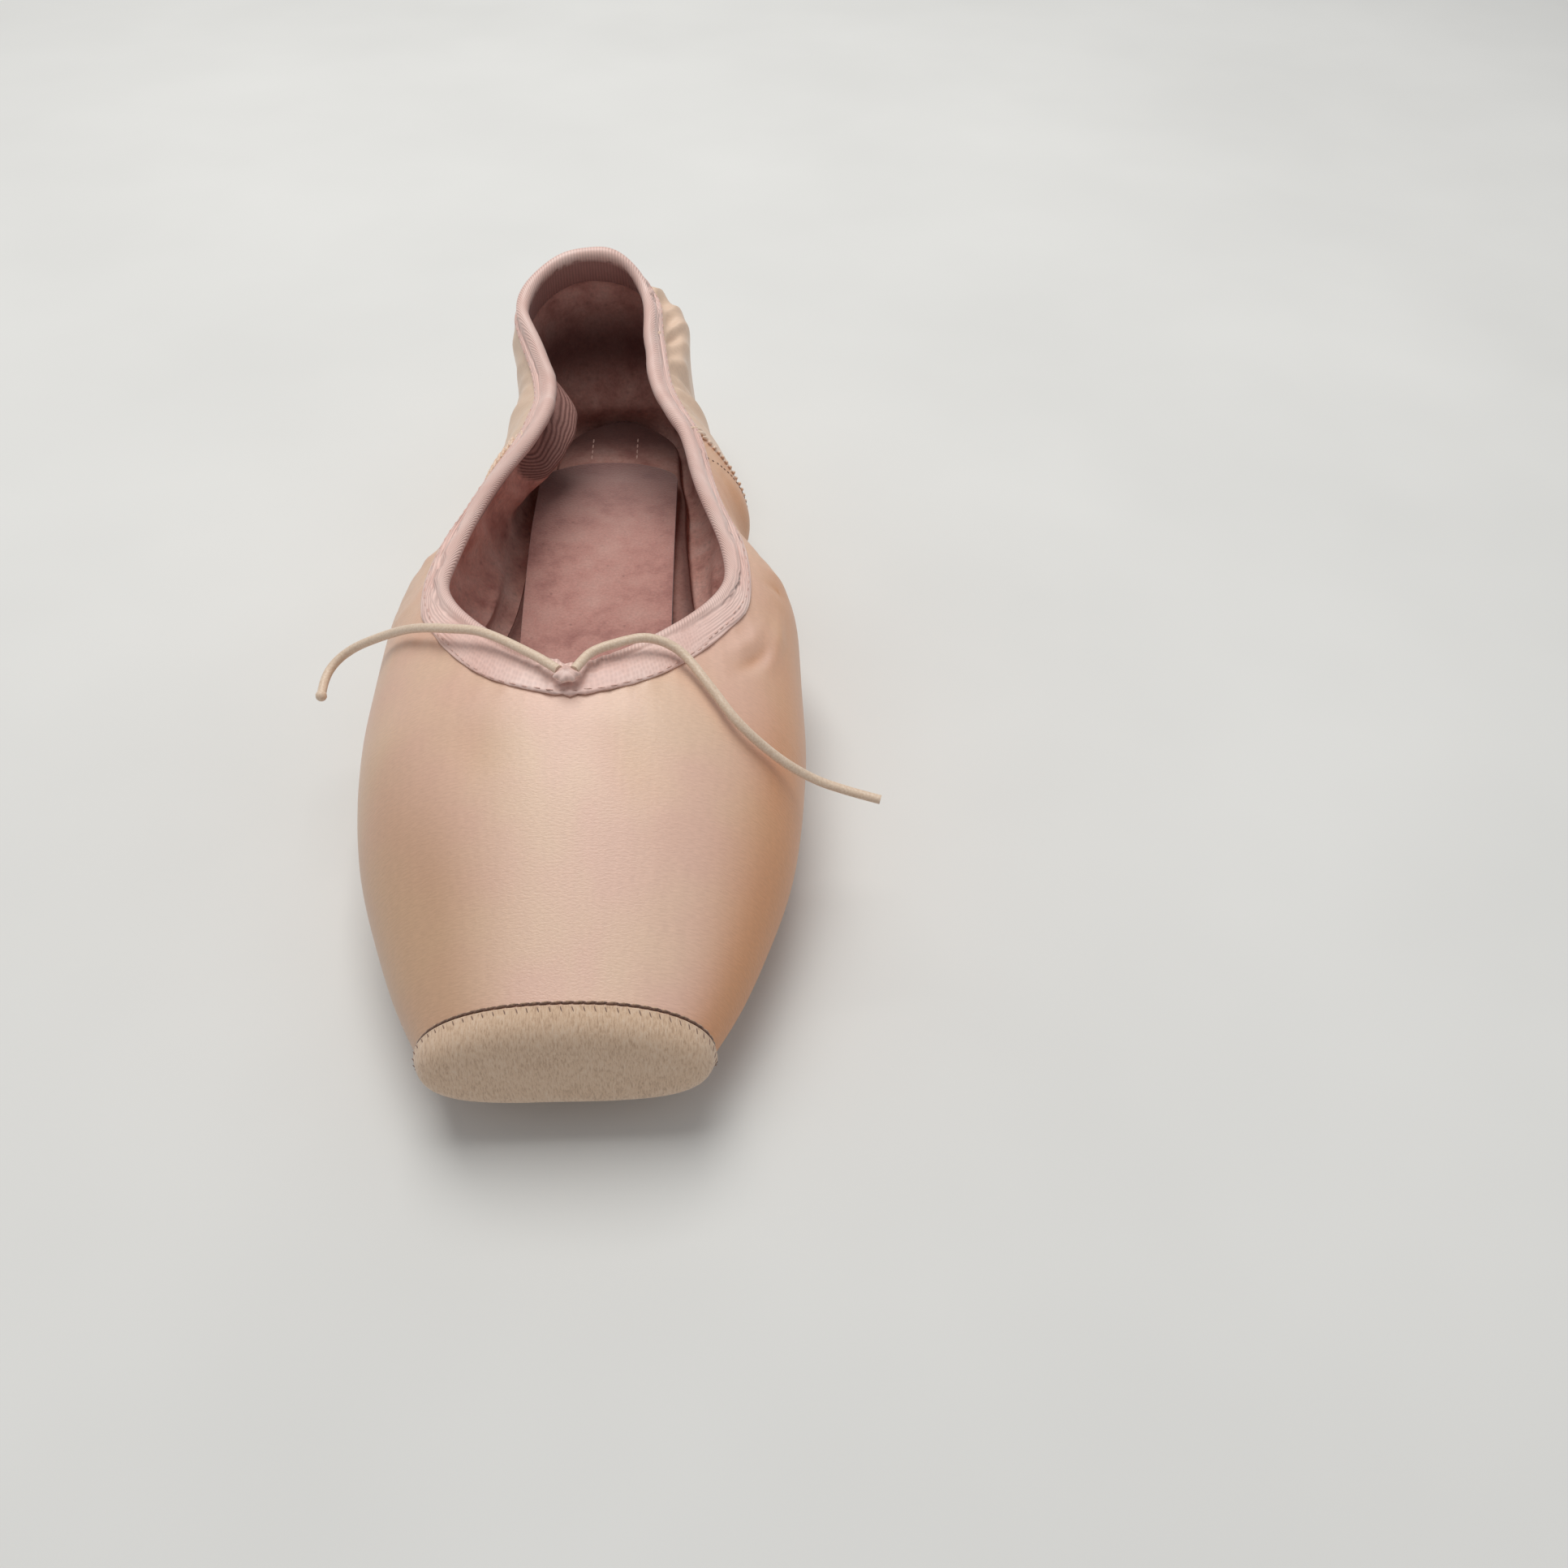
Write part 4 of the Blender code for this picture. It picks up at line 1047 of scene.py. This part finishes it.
# %% Insole
# The insole is spread until its edge is hidden in the lining's slopes
INSOLE_SPREAD = 1.05
insole = smoothed_copy("insole", "lining_floor", 2)
places, _ = read_points(insole)
places[:, 0] *= INSOLE_SPREAD
write_points(insole, places)
x, y, z = (places / MM).T
# Painted shade: a dark band beside the pad, and darkness towards the heel end
beside = rise(np.abs(x + 1), 15, 19) * rise(y, -70, -40)
heel_floor_shade = 0.35 * rise(y, 55, 75) + 0.60 * rise(y, 80, 100)
write_attribute(insole, "depth", np.maximum(0.8 * beside, heel_floor_shade))
insole.data.materials.append(lining)
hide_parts("insole")
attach(insole, "root")
print(f"insole: {len(insole.data.polygons)} faces")

# %% Pad
PAD_MAUVE = "CC958A"
PAD_DARK = "A87068"
PAD_PALE = "D8AA9E"
# Painted shade for the pad's edge and its back
PAD_SHADE = "5A3634"

finish = Finish("brushed_pad", Roughness=0.95, Sheen_Weight=0.5, Sheen_Roughness=0.6)
spot = finish.spot()
fuzz = finish.noise(spot, 1700.0)
pile = finish.ramp(finish.noise(spot, 90.0, 4.0, 0.65), (0.28, PAD_DARK), (0.48, PAD_MAUVE),
                   (0.75, PAD_PALE))
# Painted shade, mixed in by the "depth" attribute
colour = finish.mix(finish.attribute("depth"), pile, PAD_SHADE)
colour = finish.shade(colour, finish.between(finish.cells(spot, 260.0), 0.0, 0.12, 0.62, 1.0),
                      finish.between(fuzz, 0.3, 0.7, 0.90, 1.07))
pad_cloth = finish.wear(colour, fuzz, 0.5, 0.30 * MM)

pad = smoothed_copy("sock_pad", "sock_pad_cloth", 2)
places, normals = read_points(pad)
# Painted shade: a little all over, on the steep edge where the pad meets the insole, and more
# towards the back, where the heel's collar shades it
edge = rise(normals[:, 2], 0.75, 0.15)
write_attribute(pad, "depth", np.maximum(edge, 0.15 + 0.65 * rise(places[:, 1] / MM, 30, 85)))
pad.data.materials.append(pad_cloth)
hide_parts("sock_pad")
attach(pad, "root")
print(f"pad: {len(pad.data.polygons)} faces")

# %% Heel strip
# The strip reaches up under the tape. Its height over the flat wall is laid on the folded one:
# its outer side just clears the satin, and its inner side sinks in it
STRIP_FOOT, STRIP_STRETCH = 30 * MM, 6 * MM
STRIP_SIDES, STRIP_HEIGHTS = [0.10, 0.55], [-0.40, 0.45]
heel_strip = smoothed_copy("heel_strip", "satin_heel_strip", 2)
places, _ = read_points(heel_strip)
places[:, 2] += STRIP_STRETCH * rise(places[:, 2], STRIP_FOOT, places[:, 2].max())
for i, point in enumerate(places):
    near, normal, _, _ = flat_tree.find_nearest(Vector(point))
    raised = (Vector(point) - near).dot(normal) / MM
    near, normal, _, _ = upper_tree.find_nearest(Vector(point))
    places[i] = near + normal * np.interp(raised, STRIP_SIDES, STRIP_HEIGHTS) * MM
write_points(heel_strip, places)
write_map(heel_strip, places[:, 0] / MM, places[:, 2] / MM)
write_attribute(heel_strip, "quarter", np.ones(len(places)))
write_attribute(heel_strip, "depth", np.zeros(len(places)))
heel_strip.data.materials.append(satin)
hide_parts("heel_strip")
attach(heel_strip, "root")
print(f"heel strip: {len(heel_strip.data.polygons)} faces")

# %% [markdown]
# ## Stitches
# One stitch is modelled once, as a short round thread that dips into the cloth at both ends.
# It is then copied along each seam, lying on the surface that it is sewn through.

# %% One stitch
stitch = new_ball("stitch", 6, 6, 0.5)
bpy.ops.object.mode_set(mode="EDIT")
bpy.ops.mesh.select_all(action="SELECT")
bpy.ops.transform.rotate(value=math.pi / 2, orient_axis="Y", center_override=(0, 0, 0))
bpy.ops.object.mode_set(mode="OBJECT")


def sew(name, rows, length_mm, thick_mm, finish):
    """Copies the stitch to each (middle, direction, normal) and joins the copies."""
    copies = []
    for middle, direction, normal in rows:
        along = direction.normalized()
        up = (normal - normal.dot(along) * along).normalized()
        axes = along * length_mm * MM, up.cross(along) * thick_mm * MM, up * thick_mm * MM
        one = bpy.data.objects.new(name, stitch.data.copy())
        one.data.transform(Matrix.Translation(middle) @ Matrix(axes).transposed().to_4x4())
        scene.collection.objects.link(one)
        copies.append(one)
    only(copies[0])
    for one in copies:
        one.select_set(True)
    bpy.ops.object.join()
    piece = bpy.context.object
    piece.name = name
    piece.data.materials.clear()
    piece.data.materials.append(finish)
    bpy.ops.object.shade_smooth()
    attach(piece, "root")
    print(f"{name}: {len(copies)} stitches")


def thread_material(name, hex_colour, hex_dark):
    finish = Finish(name, Roughness=0.7, Sheen_Weight=0.3)
    fibre = finish.noise(finish.spot(), 2500.0)
    return finish.wear(finish.ramp(fibre, (0.35, hex_dark), (0.65, hex_colour)))


brown_thread = thread_material("brown_polyester_thread", "7A5A4A", "543C31")
pink_thread = thread_material("pink_cotton_thread", "E2BFB2", "C79C90")
tan_thread = thread_material("tan_polyester_thread", "CDB195", "9C7F68")
dull_thread = thread_material("dull_polyester_thread", "96796A", "7A6053")
cream_thread = thread_material("cream_cotton_thread", "F4DCC8", "D6B296")

# %% The seam round the suede tip
PATCH_MIDDLE_Z = 16 * MM
SHARP_EDGE = math.radians(60)
SAME_ANGLE = 0.03


def patch_edge():
    """The outer edge of the suede, as points in order round it."""
    bm = bmesh.new()
    bm.from_mesh(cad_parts["toe_patch"].data)
    bmesh.ops.remove_doubles(bm, verts=bm.verts, dist=MERGE_GAP)
    found = []
    for vert in bm.verts:
        if any(len(e.link_faces) == 2 and e.calc_face_angle(0) > SHARP_EDGE
               for e in vert.link_edges):
            across, up = vert.co.x, vert.co.z - PATCH_MIDDLE_Z
            found.append((math.atan2(across, up), math.hypot(across, up), vert.co.copy()))
    bm.free()
    found.sort(key=lambda row: row[0])
    outer = found[:1]
    for row in found[1:]:
        if abs(row[0] - outer[-1][0]) >= SAME_ANGLE:
            outer.append(row)
        elif row[1] > outer[-1][1]:
            outer[-1] = row
    return [row[2] for row in outer]


edge_points = patch_edge()
seam_line = smooth_line([p / MM for p in [*edge_points, edge_points[0]]], 0.4 * MM)
print(f"suede seam: {run_length(seam_line) / MM:.0f} mm")

# %% Sew the suede tip
# A chain of brown loops lies on the satin, each with a paler link, and small ticks on the suede
SEAM_STEP = 4
patch_tree = tree_of(patch)
chain, links, ticks = [], [], []
for k in range(0, len(seam_line) - SEAM_STEP, SEAM_STEP):
    here, ahead = seam_line[k], seam_line[k + SEAM_STEP]
    direction = ahead - here
    behind_edge = (here + ahead) / 2 + Vector((0, 0.5, 0)) * MM
    place, normal, _, _ = upper_tree.find_nearest(behind_edge)
    tilt = direction.normalized() + 0.10 * normal.cross(direction).normalized()
    chain.append((place + normal * 0.10 * MM, tilt, normal))
    links.append((place + normal * 0.30 * MM + Vector((0, 0.2, 0)) * MM, tilt, normal))
    place, normal, _, _ = patch_tree.find_nearest(here + Vector((0, -0.8, -0.2)) * MM)
    ticks.append((place, Vector((0.3, 0, 0)) * MM + place - here, normal))
sew("suede_seam_chain", chain, 2.3, 0.54, brown_thread)
sew("suede_seam_links", links, 1.1, 0.28, tan_thread)
sew("suede_seam_ticks", ticks, 1.1, 0.22, dull_thread)

# %% Side seams
# A thick whip stitch closes each side seam, where the vamp's satin meets the quarter's. In front
# of the right one runs a short darker row.
SIDE_SEAMS = [
    [(24, 50, 44), (27.5, 47, 41), (30, 45.5, 36), (31.5, 44, 31), (32, 41, 22), (28, 37, 7)],
    [(-24, 48, 44), (-28, 45, 40), (-31, 43, 33), (-32, 40, 24), (-28, 35, 7)],
]
RIGHT_ROW = [(26.7, 37.9, 41.4), (29.7, 39.8, 35.9), (31.8, 39.3, 32.6), (32.5, 37.0, 24)]
RAY_START = 30 * MM
WHIP_LEAN, WHIP_LIFT = 0.35, 0.35 * MM


def on_satin(line, spacing):
    """Places and normals on the outer satin along a line in the wall, each with its step."""
    seam = smooth_line(line, spacing)
    for here, ahead in zip(seam, seam[1:]):
        middle = (here + ahead) / 2
        inward = Vector((-math.copysign(1, middle.x), 0, 0))
        place, normal, _, _ = upper_tree.ray_cast(middle - inward * RAY_START, inward)
        if place is None:
            place, normal, _, _ = upper_tree.find_nearest(middle)
        yield place, normal, ahead - here


whips = []
for line in SIDE_SEAMS:
    for place, normal, step in on_satin(line, 1.25 * MM):
        run = step.normalized()
        whips.append((place + normal * WHIP_LIFT, normal.cross(run) + WHIP_LEAN * run, normal))
sew("side_seam_stitches", whips, 4.0, 1.10, cream_thread)
row = [(place, step, normal) for place, normal, step in on_satin(RIGHT_ROW, 1.1 * MM)]
sew("right_seam_row", row, 0.9, 0.35, brown_thread)

# %% Stitches along the tape
TAPE_STITCH_STEP = 2.2 * MM
TAPE_STITCH_INSET = 1.3 * MM
TAPE_HALF = 2.6 * MM
LEG_TOP = 2.0 * MM


def round_tape():
    """Stitches that run round the collar at an even distance inside the outer leg's edge."""
    binding_tree = tree_of(binding)
    share = leg_share(from_throat(collar_run[:-1]))
    below = LEG_TOP + (2 * TOP - LEG_TOP) * share - TAPE_STITCH_INSET
    track = [Vector(p) for p in collar + TIP * (TOP - below)[:, None] + FACE * TAPE_HALF]
    walked, last = 0.0, track[0]
    for point in [*track[1:], track[0]]:
        walked += (point - last).length
        if walked >= TAPE_STITCH_STEP:
            place, normal, _, _ = binding_tree.find_nearest(point)
            yield place, point - last, normal
            walked = 0.0
        last = point


sew("tape_stitches", round_tape(), 1.5, 0.28, pink_thread)

# %% Stitched lines on the heel seat
SEAT_LINES, SEAT_ROW_START, SEAT_STEP, SEAT_COUNT = (-7.5, 5.0), 89.0, 2.8, 4
insole_tree = tree_of(insole)
seat = []
for x in SEAT_LINES:
    for k in range(SEAT_COUNT):
        above = Vector((x, SEAT_ROW_START + SEAT_STEP * k, 50)) * MM
        place, normal, _, _ = insole_tree.ray_cast(above, Vector((0, 0, -1)))
        seat.append((place, Vector((0, 1, 0)), normal))
sew("heel_seat_stitches", seat, 2.0, 0.4, pink_thread)
bpy.data.objects.remove(stitch)

# %% [markdown]
# ## Finish the cords
# The cord is a waxed cotton, cream and slightly shiny. Its weave is too fine to show, so the
# material draws it twice as coarse. The left end carries a blob of glue against fraying.

# %% Cord material
CORD_BEIGE = "D9BEA5"
CORD_CREAM = "E8D2BC"

finish = Finish("waxed_cotton_cord", Roughness=0.5, Sheen_Weight=0.2, Coat_Weight=0.1,
                Coat_Roughness=0.3)
braid = finish.noise(finish.spot(), 2600.0, 1.0)
cotton = finish.wear(finish.ramp(braid, (0.30, CORD_BEIGE), (0.70, CORD_CREAM)), braid, 0.25,
                     0.08 * MM)
for side, (cord, points) in cords.items():
    cord.data.materials.append(cotton)
    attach(cord, "root")
print("cords finished")

# %% Glue at the left end
glue = new_ball("cord_end_glue", 12, 8, 1.15 * MM)
glue.data.transform(Matrix.Translation(cords["left"][1][-1] + Vector((0, 0.3, 0)) * MM))
bpy.ops.object.shade_smooth()
glue.data.materials.append(cotton)
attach(glue, "root")

# %% [markdown]
# ## Floor and light
# The shoe stands on a pale floor. A wide soft light from above gives the satin its bright
# band, and a pale world fills the shadows.

# %% Floor
bpy.ops.object.select_all(action="DESELECT")
bpy.ops.mesh.primitive_plane_add(size=6.0, location=(0, 0, 0))
floor = bpy.context.object
floor.name = "floor"
finish = Finish("painted_floor", Roughness=0.85)
dust = finish.noise(finish.spot(), 9.0, 3.0)
floor.data.materials.append(finish.wear(finish.ramp(dust, (0.3, "DEDEDC"), (0.7, "E4E4E2"))))

# %% Light
LIGHT_PLACE, LIGHT_AIM = Vector((-0.08, 0.34, 1.1)), Vector((0, 0, 0.02))
sky = bpy.data.worlds.new("soft_room")
sky.use_nodes = True
background = sky.node_tree.nodes["Background"]
background.inputs["Color"].default_value = linear("F4F6F8")
background.inputs["Strength"].default_value = 0.40
scene.world = sky

lamp = bpy.data.lights.new("ceiling_light", "AREA")
lamp.shape = "RECTANGLE"
lamp.size, lamp.size_y = 0.70, 0.90
lamp.energy = 9.6
lamp.color = linear("FFFDF9")[:3]
ceiling_light = bpy.data.objects.new("ceiling_light", lamp)
scene.collection.objects.link(ceiling_light)
ceiling_light.location = LIGHT_PLACE
ceiling_light.rotation_euler = (LIGHT_AIM - LIGHT_PLACE).to_track_quat("-Z", "Y").to_euler()
print("floor and light")
